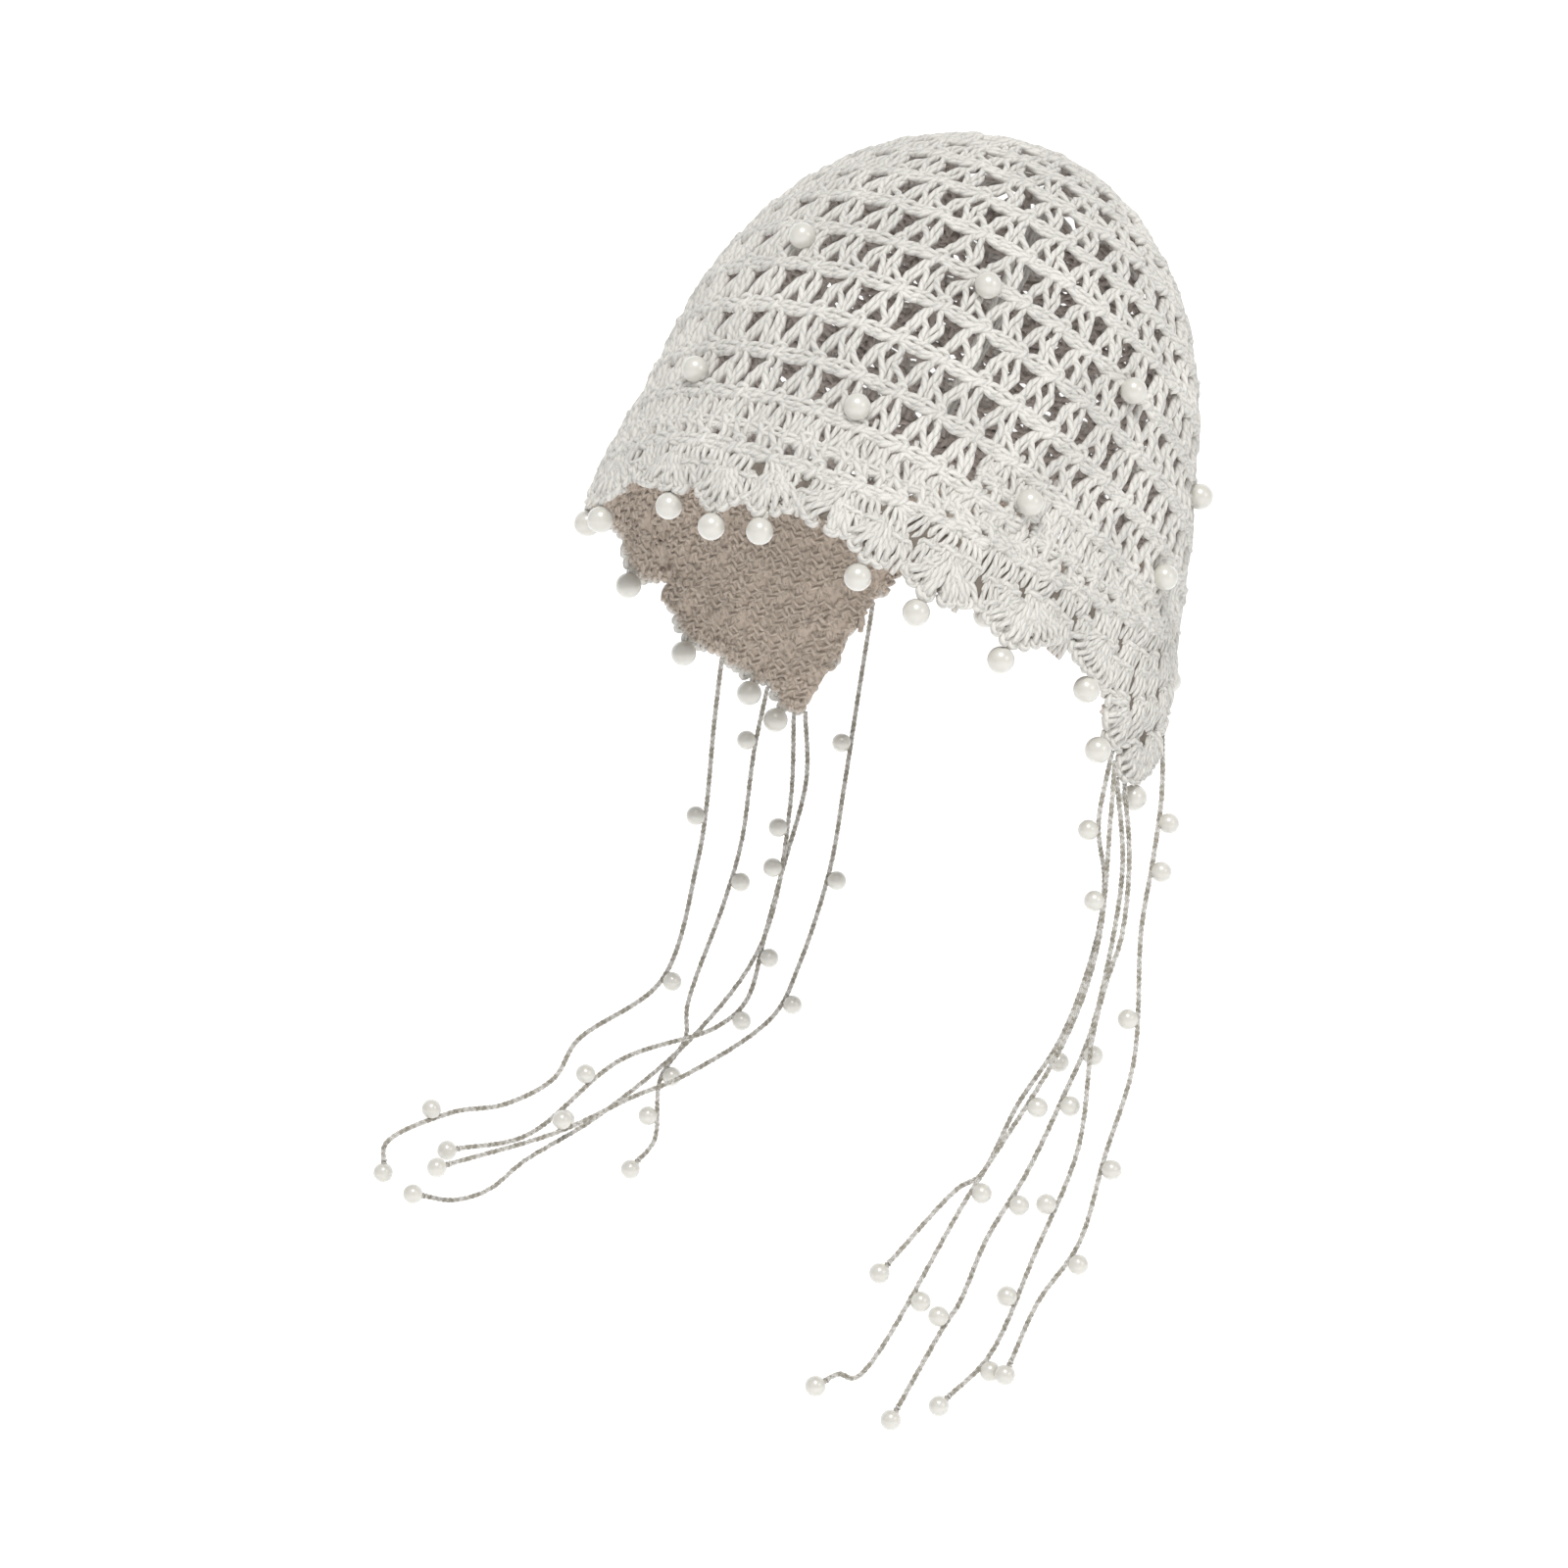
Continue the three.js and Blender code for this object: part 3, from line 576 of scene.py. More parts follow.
class Tree(Nodes):
    """A geometry tree under construction, with named inputs"""

    def __init__(self, name, sockets):
        super().__init__(bpy.data.node_groups.new(name, "GeometryNodeTree"))
        face = self.group.interface
        face.new_socket("Geometry", in_out="INPUT", socket_type="NodeSocketGeometry")
        for label, kind in sockets.items():
            face.new_socket(label, in_out="INPUT", socket_type=f"NodeSocket{kind}")
        face.new_socket("Geometry", in_out="OUTPUT", socket_type="NodeSocketGeometry")
        self.inputs = self.add("NodeGroupInput").outputs
        self.end = self.add("NodeGroupOutput").inputs["Geometry"]

    def place(self):
        return self.add("GeometryNodeInputPosition").outputs[0]

    def split(self, vector):
        return self.add("ShaderNodeSeparateXYZ", {0: vector}).outputs

    def vector(self, operation, a, b=(0, 0, 0)):
        key = 3 if operation == "SCALE" else 1
        node = self.add("ShaderNodeVectorMath", {0: a, key: b}, operation=operation)
        return node.outputs["Value" if operation in ("DOT_PRODUCT", "LENGTH") else "Vector"]

    def named(self, name, kind="FLOAT_VECTOR"):
        node = self.add("GeometryNodeInputNamedAttribute", {"Name": name}, data_type=kind)
        return node.outputs["Attribute"]

    def store(self, geometry, name, value, kind="FLOAT"):
        values = {"Geometry": geometry, "Name": name, "Value": value}
        return self.add("GeometryNodeStoreNamedAttribute", values, data_type=kind).outputs["Geometry"]

    def finish(self, geometry, material):
        real = self.add("GeometryNodeRealizeInstances", {"Geometry": geometry}).outputs[0]
        done = self.add("GeometryNodeSetMaterial", {"Geometry": real, "Material": material}).outputs[0]
        self.group.links.new(done, self.end)
        return self.group


def yarn_tube(tree, curve, radius, sides):
    """Turns lines into yarn, with its length and its round direction kept for the ply's pattern"""
    length = tree.add("GeometryNodeSplineParameter").outputs["Length"]
    curve = tree.store(curve, "yarn_length", length)
    values = {"Resolution": sides, "Radius": radius}
    ring = tree.add("GeometryNodeCurvePrimitiveCircle", values).outputs["Curve"]
    ring = tree.store(ring, "yarn_round", tree.vector("NORMALIZE", tree.place()), "FLOAT_VECTOR")
    values = {"Curve": curve, "Profile Curve": ring, "Scale": tree.named("girth", "FLOAT"), "Fill Caps": True}
    tube = tree.add("GeometryNodeCurveToMesh", values).outputs["Mesh"]
    return tree.add("GeometryNodeSetShadeSmooth", {"Geometry": tube, "Shade Smooth": True}).outputs[0]


def stitch_tree():
    """Lays charts on chart points, bends them round the former and gives them the yarn's thickness"""
    tree = Tree("lay_stitches", {
        **{f"Chart {k}": "Object" for k in range(CHARTS)}, "Former": "Object", "Yarn radius": "Float",
        "Sides": "Int", "Wander": "Float", "Seed": "Int", "Material": "Material",
    })
    sockets = tree.inputs
    points = tree.store(sockets["Geometry"], "start", tree.place(), "FLOAT_VECTOR")
    tint = tree.add("FunctionNodeRandomValue", {"Seed": sockets["Seed"]}, data_type="FLOAT").outputs["Value"]
    points = tree.store(points, "stitch_tint", tint)
    kind = tree.named("kind", "FLOAT")
    laid = tree.add("GeometryNodeJoinGeometry")
    for k in range(CHARTS):
        chart = tree.add("GeometryNodeObjectInfo", {"Object": sockets[f"Chart {k}"]}).outputs["Geometry"]
        chart = tree.store(chart, "local", tree.place(), "FLOAT_VECTOR")
        values = {"A": kind, "B": float(k), "Epsilon": 0.1}
        chosen = tree.add("FunctionNodeCompare", values, data_type="FLOAT", operation="EQUAL")
        values = {"Points": points, "Selection": chosen.outputs["Result"], "Instance": chart}
        made = tree.add("GeometryNodeInstanceOnPoints", values).outputs["Instances"]
        tree.group.links.new(made, laid.inputs[0])
    real = tree.add("GeometryNodeRealizeInstances", {"Geometry": laid.outputs[0]}).outputs[0]
    local = tree.split(tree.named("local"))
    across = tree.vector("SCALE", tree.named("across"), local["X"])
    along = tree.vector("SCALE", tree.named("along"), local["Y"])
    rise = tree.add("ShaderNodeCombineXYZ", {"Z": local["Z"]}).outputs[0]
    spot = tree.vector("ADD", tree.named("start"), across)
    spot = tree.vector("ADD", spot, tree.vector("ADD", along, rise))
    # Straying: smooth noise over the chart, in degrees across and mm down and out
    values = {"Vector": spot, "Scale": STRAY_SCALE, "Detail": 1.0, "W": sockets["Seed"]}
    noise = tree.add("ShaderNodeTexNoise", values, noise_dimensions="4D").outputs["Color"]
    stray = tree.vector("SCALE", tree.vector("SUBTRACT", noise, (0.5, 0.5, 0.5)), sockets["Wander"])
    spot = tree.vector("ADD", spot, tree.vector("MULTIPLY", stray, STRAY_REACH))
    part = tree.split(spot)
    span = FORMER_TURNS[1] - FORMER_TURNS[0]
    u = tree.math("DIVIDE", tree.math("SUBTRACT", part["X"], FORMER_TURNS[0]), span)
    v = tree.math("DIVIDE", tree.math("MAXIMUM", part["Y"], 0.5), FORMER_DEPTHS[1])
    uv = tree.add("ShaderNodeCombineXYZ", {"X": u, "Y": v}).outputs[0]
    former_mesh = tree.add("GeometryNodeObjectInfo", {"Object": sockets["Former"]}).outputs["Geometry"]
    uv_map = tree.named("UVMap")
    for name, value in (("face_point", tree.place()), ("face_normal", tree.named("outward"))):
        values = {"Mesh": former_mesh, "Value": value, "Source UV Map": uv_map, "Sample UV": uv}
        sample = tree.add("GeometryNodeSampleUVSurface", values, data_type="FLOAT_VECTOR").outputs["Value"]
        real = tree.store(real, name, sample, "FLOAT_VECTOR")
    lift = tree.vector("SCALE", tree.named("face_normal"), tree.math("MULTIPLY", part["Z"], MM))
    final = tree.vector("ADD", tree.named("face_point"), lift)
    real = tree.add("GeometryNodeSetPosition", {"Geometry": real, "Position": final}).outputs[0]
    tube = yarn_tube(tree, real, sockets["Yarn radius"], sockets["Sides"])
    off = tree.vector("SUBTRACT", tree.place(), tree.named("face_point"))
    tube = tree.store(tube, "rise", tree.vector("DOT_PRODUCT", off, tree.named("face_normal")))
    return tree.finish(tube, sockets["Material"])


KEPT_ATTRIBUTES = ("rise", "yarn_length", "yarn_round", "stitch_tint", "sharp_face", "UVMap")


def run_tree(holder, tree, values):
    """Runs a tree on an object and returns the plain mesh that it makes"""
    modifier = holder.modifiers.new("make", "NODES")
    modifier.node_group = tree
    for item in tree.interface.items_tree:
        if item.item_type == "SOCKET" and item.in_out == "INPUT" and item.name in values:
            modifier[item.identifier] = values[item.name]
    holder.update_tag()
    bpy.context.view_layer.update()
    evaluated = holder.evaluated_get(bpy.context.evaluated_depsgraph_get())
    mesh = bpy.data.meshes.new_from_object(evaluated)
    holder.modifiers.remove(modifier)
    return mesh


def piece(name, mesh, nodes):
    """A finished piece that rides on the body and stands for its nodes"""
    for attribute in [a.name for a in mesh.attributes if not (a.is_internal or a.is_required)]:
        if attribute not in KEPT_ATTRIBUTES:
            mesh.attributes.remove(mesh.attributes[attribute])
    mesh.name = name
    made = linked(name, mesh)
    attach(made, BODY)
    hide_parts(*nodes)


def remove(*objects):
    for o in objects:
        bpy.data.objects.remove(o, do_unlink=True)


def lay_stitches(name, rows, charts, wander, nodes, material):
    """One piece from chart rows: place, across, along, kind, girth"""
    yarn = settings()
    places, across, along, kinds, girths = zip(*rows)
    vectors = {"across": across, "along": along}
    holder = mesh_object(name + "_chart", places, vectors=vectors, floats={"kind": kinds, "girth": girths})
    tree = bpy.data.node_groups.get("lay_stitches") or stitch_tree()
    mesh = run_tree(holder, tree, {
        **{f"Chart {k}": chart for k, chart in enumerate(charts)}, "Former": former(), "Sides": yarn.sides,
        "Yarn radius": yarn.diameter / 2, "Wander": wander, "Seed": yarn.seed, "Material": material,
    })
    remove(holder)
    piece(name, mesh, nodes)


def former():
    return bpy.data.objects.get("former") or make_former()


# Materials, with lengths in metres
PLY_TWIST = 0.0075
# Rises over which the cotton goes from its painted inside shade to its outer colour
STITCH_RISES = (-0.0029, -0.0013)
# Rises of the backing's faces: its inner face in the flaps' painted shade, its outer face in the dark painted
# depth shade
BACKING_FACES = (-0.0025, -0.0020)
# Painted shade in the small pits between close stitches
PIT_SHADE_COLOUR = (0.10, 0.085, 0.07, 1)
PEARL_CLOUD = (0.56, 0.545, 0.49, 1)


class Paint(Nodes):
    """A material's nodes, which end in its shader"""

    def __init__(self, name):
        self.material = bpy.data.materials.new(name)
        self.material.use_nodes = True
        super().__init__(self.material.node_tree)
        self.shader = self.group.nodes["Principled BSDF"].inputs
        self.spot = self.add("ShaderNodeTexCoord").outputs["Object"]

    def attribute(self, name, output="Fac"):
        return self.add("ShaderNodeAttribute", attribute_name=name).outputs[output]

    def noise(self, scale, detail=2.0):
        values = {"Vector": self.spot, "Scale": scale, "Detail": detail}
        return self.add("ShaderNodeTexNoise", values).outputs["Fac"]

    def remap(self, value, start, end, first=0.0, last=1.0, curve="LINEAR"):
        """Turns start into first and end into last, and goes no further"""
        values = {"Value": value, "From Min": start, "From Max": end, "To Min": first, "To Max": last}
        return self.add("ShaderNodeMapRange", values, interpolation_type=curve).outputs["Result"]

    def mix(self, share, a, b, blend="MIX"):
        values = {"Factor": share, "A": a, "B": b}
        return self.add("ShaderNodeMix", values, data_type="RGBA", blend_type=blend).outputs["Result"]

    def finish(self, colour, levels, height=None, strength=0.0, distance=0.0):
        """Sets the shader's colour, its plain values and its bump"""
        for key, value in {"Base Color": colour, **levels}.items():
            self.fill(self.shader[key], value)
        if height is not None:
            values = {"Height": height, "Strength": strength, "Distance": distance}
            self.fill(self.shader["Normal"], self.add("ShaderNodeBump", values).outputs["Normal"])
        return self.material


def cotton(inner):
    """Plied cotton yarn: twisted plies with painted shade in their grooves, fine fuzz, and painted shade that
    makes it browner inside the cap than outside
    """
    name = f"cotton_{inner}"
    if name in bpy.data.materials:
        return bpy.data.materials[name]
    colours = bpy.context.scene.beanie_colours
    paint = Paint(name)
    part = paint.add("ShaderNodeSeparateXYZ", {0: paint.attribute("yarn_round", "Vector")}).outputs
    angle = paint.math("ARCTAN2", part["Y"], part["X"])
    twist = paint.math("MULTIPLY", paint.attribute("yarn_length"), 2 * math.pi / PLY_TWIST)
    wave = paint.math("COSINE", paint.math("MULTIPLY", paint.math("ADD", angle, twist), 2.0))
    fine = paint.noise(2600.0)
    # Painted shade: yarn lying deep towards the inside takes the darker inside colour, the outer yarn its own
    # colour
    outward = paint.remap(paint.attribute("rise"), *STITCH_RISES, curve="SMOOTHSTEP")
    base = paint.mix(outward, getattr(colours, inner), colours.outer)
    # Painted shade in the grooves between the plies, times the cotton's random tone
    value = paint.remap(wave, -1.0, -0.3, 0.78)
    for other in (
        paint.remap(fine, 0.3, 0.7, 0.92, 1.04), paint.remap(paint.noise(45.0, 3.0), 0.3, 0.7, 0.93, 1.03),
        paint.remap(paint.attribute("stitch_tint"), 0.0, 1.0, 0.93, 1.03),
    ):
        value = paint.math("MULTIPLY", value, other)
    ply_shade_and_tone = paint.add("ShaderNodeCombineColor", {"Red": value, "Green": value, "Blue": value}).outputs["Color"]
    levels = {"Roughness": 0.86, "Sheen Weight": 0.2, "Sheen Roughness": 0.5, "Specular IOR Level": 0.2}
    height = paint.math("ADD", wave, fine)
    return paint.finish(paint.mix(1.0, base, ply_shade_and_tone, "MULTIPLY"), levels, height, 0.6, 0.0002)


def painted_shade_felt():
    """The matted depth between close stitches, all in painted shade: a dark outer face with darker pits, and
    the flaps' browner inside shade on its inner face
    """
    name = "matted_cotton"
    if name in bpy.data.materials:
        return bpy.data.materials[name]
    colours = bpy.context.scene.beanie_colours
    paint = Paint(name)
    dots = paint.add("ShaderNodeTexVoronoi", {"Vector": paint.spot, "Scale": 330.0}).outputs["Distance"]
    # Painted shade: the backing's outer face takes the dark depth colour and its inner face the flaps'
    # painted inside shade
    outward = paint.remap(paint.attribute("rise"), *BACKING_FACES)
    faces = paint.mix(outward, colours.flap_inner, colours.depth)
    # Painted shade: dark pits spread over the backing
    mixed = paint.mix(paint.remap(dots, 0.1, 0.5, 0.55), PIT_SHADE_COLOUR, faces)
    height = paint.math("ADD", dots, paint.noise(900.0, 4.0))
    return paint.finish(mixed, {"Roughness": 0.95, "Specular IOR Level": 0.1}, height, 0.7, 0.0006)


def pearl_coat():
    """Imitation pearl: a cloudy body under a clear coat"""
    name = "pearl_coat"
    if name in bpy.data.materials:
        return bpy.data.materials[name]
    paint = Paint(name)
    mixed = paint.mix(paint.noise(260.0), bpy.context.scene.beanie_pearls.colour, PEARL_CLOUD)
    return paint.finish(mixed, {
        "Roughness": 0.32, "Coat Weight": 1.0, "Coat Roughness": 0.16, "Specular IOR Level": 1.0,
        "Subsurface Weight": 0.15, "Subsurface Radius": (0.002, 0.0018, 0.0012),
    })


# Charts on the cap, in mm and degrees: beyond FAR_TURNS inner strands close the net's holes
FAR_TURNS = (-46, 155)
FAR_RAISE = 30
DENSE_FROM = 0.9
NET_ROUNDS = 14
NET_PIECES = (("net_top", 0, 6), ("net_middle", 6, 9), ("net_low", 9, NET_ROUNDS))
FIRST_TURN = 27.0
SHELL_PITCH = 8.4
SHELL_HEIGHT = 8.0
SHELL_LEVELS = 9
FAN_HEIGHT = 12.0
FAN_POST = 3.3
EDGE_INSET = 3.0
CHAIN_LINK = 3.6
BACKING_RISES = (-1.6, -2.75)
BACKING_LEVELS = 12


def close_depth(turn):
    """Where the close stitches begin, higher on the far side than the border's own seam"""
    turn = (np.asarray(turn, float) + 180) % 360 - 180
    raised = np.clip(np.minimum((turn + 172) / 30, (-44 - turn) / 22), 0, 1)
    return seam_depth(turn) - FAR_RAISE * raised


def net_girth(turn, share):
    """Holes close up towards the border and the front, on the near side and on the far side"""
    side = np.clip((turn - 55) / 60, 0, 1)
    far = np.clip((-turn - 50) / 25, 0, 1)
    low = np.clip((share - 0.62) / 0.3, 0, 1)
    front = np.clip((12 - turn) / 30, 0, 1) * np.clip((turn + 60) / 20, 0, 1)
    return 1.24 + 0.10 * max(side, low) + 0.08 * side * low + 0.24 * far + 0.14 * front


def net_rows():
    """Chart rows of every repeat of the net, in rounds from the crown's middle"""
    rows = []
    for k in range(NET_ROUNDS):
        start = ROUND * k
        turns = np.arange(-180, 180, 5.0)
        ring = on_cap(turns, np.full(len(turns), start + 0.5 * ROUND))
        around = float(np.linalg.norm(ring - np.roll(ring, 1, axis=0), axis=1).sum())
        count = max(5, round(around / REPEAT))
        step = 360 / count
        first = FIRST_TURN + (0 if k % 2 == 0 else step / 2)
        for j in range(count):
            turn = (first + j * step + 180) % 360 - 180
            seam = float(close_depth(turn))
            last = max(1, round(seam / ROUND))
            if k >= last:
                continue
            height = ROUND if k < last - 1 else seam - start
            girth = net_girth(turn, start / seam)
            rows.append((k, (turn, start, 0), (step, 0, 0), (0, height, 0), k % 2, girth))
            if k > 1 and not FAR_TURNS[0] <= turn <= FAR_TURNS[1]:
                rows.append((k, (turn, start, 0), (step, 0, 0), (0, height, 0), 2, girth))
            elif (start + 0.5 * height) / seam > DENSE_FROM:
                place = (turn + 0.45 * step, start - 0.2 * height, -0.35)
                rows.append((k, place, (step, 0, 0), (0, 0.8 * height, 0), 1 - k % 2, 0.82 * girth))
    return rows


class BEANIE_OT_net(Operator):
    """Crochets the open net of the crown, round by round"""

    bl_idname = "beanie.net"
    bl_label = "Crown net"

    def execute(self, context):
        scale = np.array([REPEAT, ROUND])
        charts = [
            charted_curve("net_right", net_chart(False), scale),
            charted_curve("net_wrong", net_chart(True), scale),
            charted_curve("net_fill", fill_chart(), scale),
        ]
        rows = net_rows()
        wander = settings().wander / MM
        for name, low, high in NET_PIECES:
            part = [r[1:] for r in rows if low <= r[0] < high]
            # The net's yarn darkens to painted shade towards the inside of the crown
            lay_stitches(name, part, charts, wander, ["crown_net"], cotton("crown_inner"))
        remove(*charts)
        return {"FINISHED"}


class Edge:
    """The scalloped edge as turns and depths, with the arc length along it"""

    def __init__(self):
        turns, depths = [], []
        for k in range(len(FANS)):
            for w in np.arange(0, 1, 0.05):
                turns.append(fan_turn(k, w))
                depths.append(rim_depth(k, w))
        turns.append(fan_turn(len(FANS), 0))
        depths.append(rim_depth(0, 0))
        self.turns = np.array(turns)
        self.depths = np.array(depths)
        self.arc = arc_lengths(on_cap(self.turns, self.depths))

    def at(self, arc):
        return np.interp(arc, self.arc, self.turns), np.interp(arc, self.arc, self.depths)

    def arc_at(self, turn):
        return np.interp(turn, self.turns, self.arc)


def border_rows():
    """Chart rows of the close shells between the net and the edge"""
    rows = []
    draw = np.random.default_rng(11)
    for level in range(SHELL_LEVELS):
        turn = -180.0
        while turn < 180.0:
            top = float(close_depth(turn))
            floor = rim_at_turn(turn) - EDGE_INSET
            count = max(1, round((floor - top) / SHELL_HEIGHT))
            wide = width_per_degree(turn, top + 5)
            if level < count:
                tall = (floor - top) / count
                aside = (0.5 * SHELL_PITCH if level % 2 else 0) + draw.normal() * 0.8
                lean = draw.normal() * 1.7
                place = (turn + aside / wide, top + level * tall, -0.2)
                girth = 1.12 + 0.06 * draw.normal()
                rows.append((place, (1 / wide, 0, 0), (lean / wide, tall, 0), 0, girth))
            turn += SHELL_PITCH / wide
    return rows


def fan_rows():
    """Chart rows of the fans, whose posts spread from a point inside the edge"""
    rows = []
    edge = Edge()
    draw = np.random.default_rng(12)
    for k, fan in enumerate(FANS):
        before = fan_turn(k - 1, 0.5)
        after = fan_turn(k, 0.5)
        if before >= edge.turns[0]:
            low = edge.arc_at(before)
        else:
            low = edge.arc_at(before + 360) - edge.arc[-1]
        high = edge.arc_at(after)
        wide = width_per_degree(fan[0], CAP_DEPTH * fan[1])
        posts = max(3, round((high - low) / FAN_POST))
        spots = []
        for a in np.linspace(low, high, posts):
            t, d = edge.at(a % edge.arc[-1])
            t = fan[0] + (t - fan[0] + 180) % 360 - 180
            spots.append(((t - fan[0]) * wide, d))
        spots = np.array(spots)
        chord = spots[-1] - spots[0]
        inward = np.array([chord[1], -chord[0]]) / (np.linalg.norm(chord) + 1e-9)
        base = spots.mean(0) + inward * FAN_HEIGHT
        for rib, spot in enumerate(spots):
            raised = 0.3 - 0.7 * (2 * rib / (posts - 1) - 1) ** 2 + 0.3 * draw.normal()
            foot = base + (spot - base) * 0.16 + 0.12 * chord * ((spot - base) @ chord / (chord @ chord))
            reach = spot - foot
            side = np.array([-reach[1], reach[0]]) / (np.linalg.norm(reach) + 1e-9)
            reach = reach + side * draw.normal() * 0.7
            rows.append((
                (fan[0] + foot[0] / wide, foot[1], raised), (-side[0] / wide, -side[1], 0),
                (reach[0] / wide * 0.98, reach[1] * 0.98, 0), 1, 1.2 + 0.06 * draw.normal(),
            ))
    return rows


def chain_rows(turns, depths, rise):
    """Chart rows of a chain along a line"""
    arc = arc_lengths(on_cap(turns, depths))
    count = max(1, round(arc[-1] / CHAIN_LINK))
    at = np.linspace(0, arc[-1], count + 1)
    t = np.interp(at, arc, turns)
    d = np.interp(at, arc, depths)
    rows = []
    for i in range(count):
        wide = width_per_degree(t[i], d[i])
        run = np.array([(t[i + 1] - t[i]) * wide, d[i + 1] - d[i]])
        side = np.array([-run[1], run[0]]) / (np.linalg.norm(run) + 1e-9)
        rows.append((
            (t[i], d[i], rise), (side[0] / wide, side[1], 0), (t[i + 1] - t[i], d[i + 1] - d[i], 0), 2, 0.82,
        ))
    return rows


class BEANIE_OT_border(Operator):
    """Crochets the fan border and both ear flaps, with their edge"""

    bl_idname = "beanie.border"
    bl_label = "Fan border"

    def execute(self, context):
        charts = [
            charted_curve("close_shell", shell_chart()), charted_curve("fan_rib", fan_chart()),
            charted_curve("edge_chain", chain_chart()),
        ]
        wander = 0.8 * settings().wander / MM
        ring = np.arange(-180, 181, 2.0)
        chains = chain_rows(ring, close_depth(ring), 0.3)
        # The border's yarn darkens to painted shade towards the inside of the border and the flaps
        yarn = cotton("flap_inner")
        lay_stitches("border_rows", border_rows(), charts, wander, ["fan_border"], yarn)
        lay_stitches("border_fans", fan_rows() + chains, charts, wander, ["fan_border"], yarn)
        self.make_backing(Edge())
        remove(*charts)
        return {"FINISHED"}

    def make_backing(self, edge):
        """The matted middle of the close stitches, a thin closed wall coloured in painted shade"""
        turns = edge.turns[:-1]
        tops = close_depth(turns) - 1.0
        bottoms = edge.depths[:-1] - EDGE_INSET
        down = np.linspace(0, 1, BACKING_LEVELS)
        rings = [(r, share) for r, shares in zip(BACKING_RISES, (down, down[::-1])) for share in shares]
        tall = bottoms - tops
        verts = [on_cap(turns, tops + tall * share, np.full(len(turns), r)) * MM for r, share in rings]
        rises = np.repeat([r for r, _ in rings], len(turns)) * MM
        faces = grid_faces(len(rings), len(turns), closed=True)
        holder = mesh_object("backing", np.concatenate(verts), faces, floats={"rise": rises})
        mesh = holder.data.copy()
        remove(holder)
        mesh.materials.append(painted_shade_felt())
        mesh.shade_smooth()
        piece("border_backing", mesh, ["fan_border"])


# Pearls and ties: lengths in mm, and in metres where a tree takes them
EDGE_HANG = 0.85
LOOP_YARN = 0.42
TIE_YARN = 0.00038
TIE_WIDTH = 0.52
TIE_LINK = 2.6
ROUTE_PARTS = 24
# Painted shade along the ties: waves of a made-up rise that swing the cotton between its tie shade and its
# outer colour
TIE_SHADE_WAVES = (0.0029, 0.0103)
TIE_SHADE_RISE = -0.0021
TIE_SHADE_SWING = 0.0006
END_BITE = 0.7


def joined_balls(name, centres, radius):
    """Round beads in one mesh, in metres"""
    made = bmesh.new()
    for centre in centres:
        bmesh.ops.create_uvsphere(
            made, u_segments=20, v_segments=12, radius=radius, matrix=Matrix.Translation(centre)
        )
    mesh = bpy.data.meshes.new(name)
    made.to_mesh(mesh)
    made.free()
    mesh.materials.append(pearl_coat())
    mesh.shade_smooth()
    return mesh


def line_tree():
    """Gives plain lines the yarn's thickness and a mottle of painted shade along their length"""
    tree = Tree("spin_lines", {"Yarn radius": "Float", "Sides": "Int", "Material": "Material"})
    curve = tree.store(tree.inputs["Geometry"], "girth", 1.0)
    tube = yarn_tube(tree, curve, tree.inputs["Yarn radius"], tree.inputs["Sides"])
    tube = tree.store(tube, "stitch_tint", 0.6)
    # Painted shade: the stored rise swings through the cotton's shade range, so the lines go light and dark
    # along their length
    length = tree.named("yarn_length", "FLOAT")
    waves = [tree.math("MULTIPLY", length, 2 * math.pi / wave) for wave in TIE_SHADE_WAVES]
    both = tree.math("ADD", *(tree.math("SINE", wave) for wave in waves))
    swing = tree.math("MULTIPLY", both, TIE_SHADE_SWING)
    tube = tree.store(tube, "rise", tree.math("ADD", swing, TIE_SHADE_RISE))
    return tree.finish(tube, tree.inputs["Material"])


def spin_lines(name, lines, radius):
    """Yarn along free lines in metres"""
    holder = charted_curve(name + "_lines", lines)
    tree = bpy.data.node_groups.get("spin_lines") or line_tree()
    mesh = run_tree(holder, tree, {"Yarn radius": radius, "Sides": 4, "Material": cotton("tie")})
    remove(holder)
    return mesh


def merge_meshes(name, meshes):
    objects = [linked(f"{name}_{k}", mesh) for k, mesh in enumerate(meshes)]
    first = objects[0]
    with bpy.context.temp_override(active_object=first, selected_editable_objects=objects, object=first):
        bpy.ops.object.join()
    mesh = first.data.copy()
    remove(first)
    return mesh


def sorted_nodes(start):
    return [n for n in sorted(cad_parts) if n.startswith(start)]


def node_middle(node):
    low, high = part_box(node)
    return (low + high) / 2


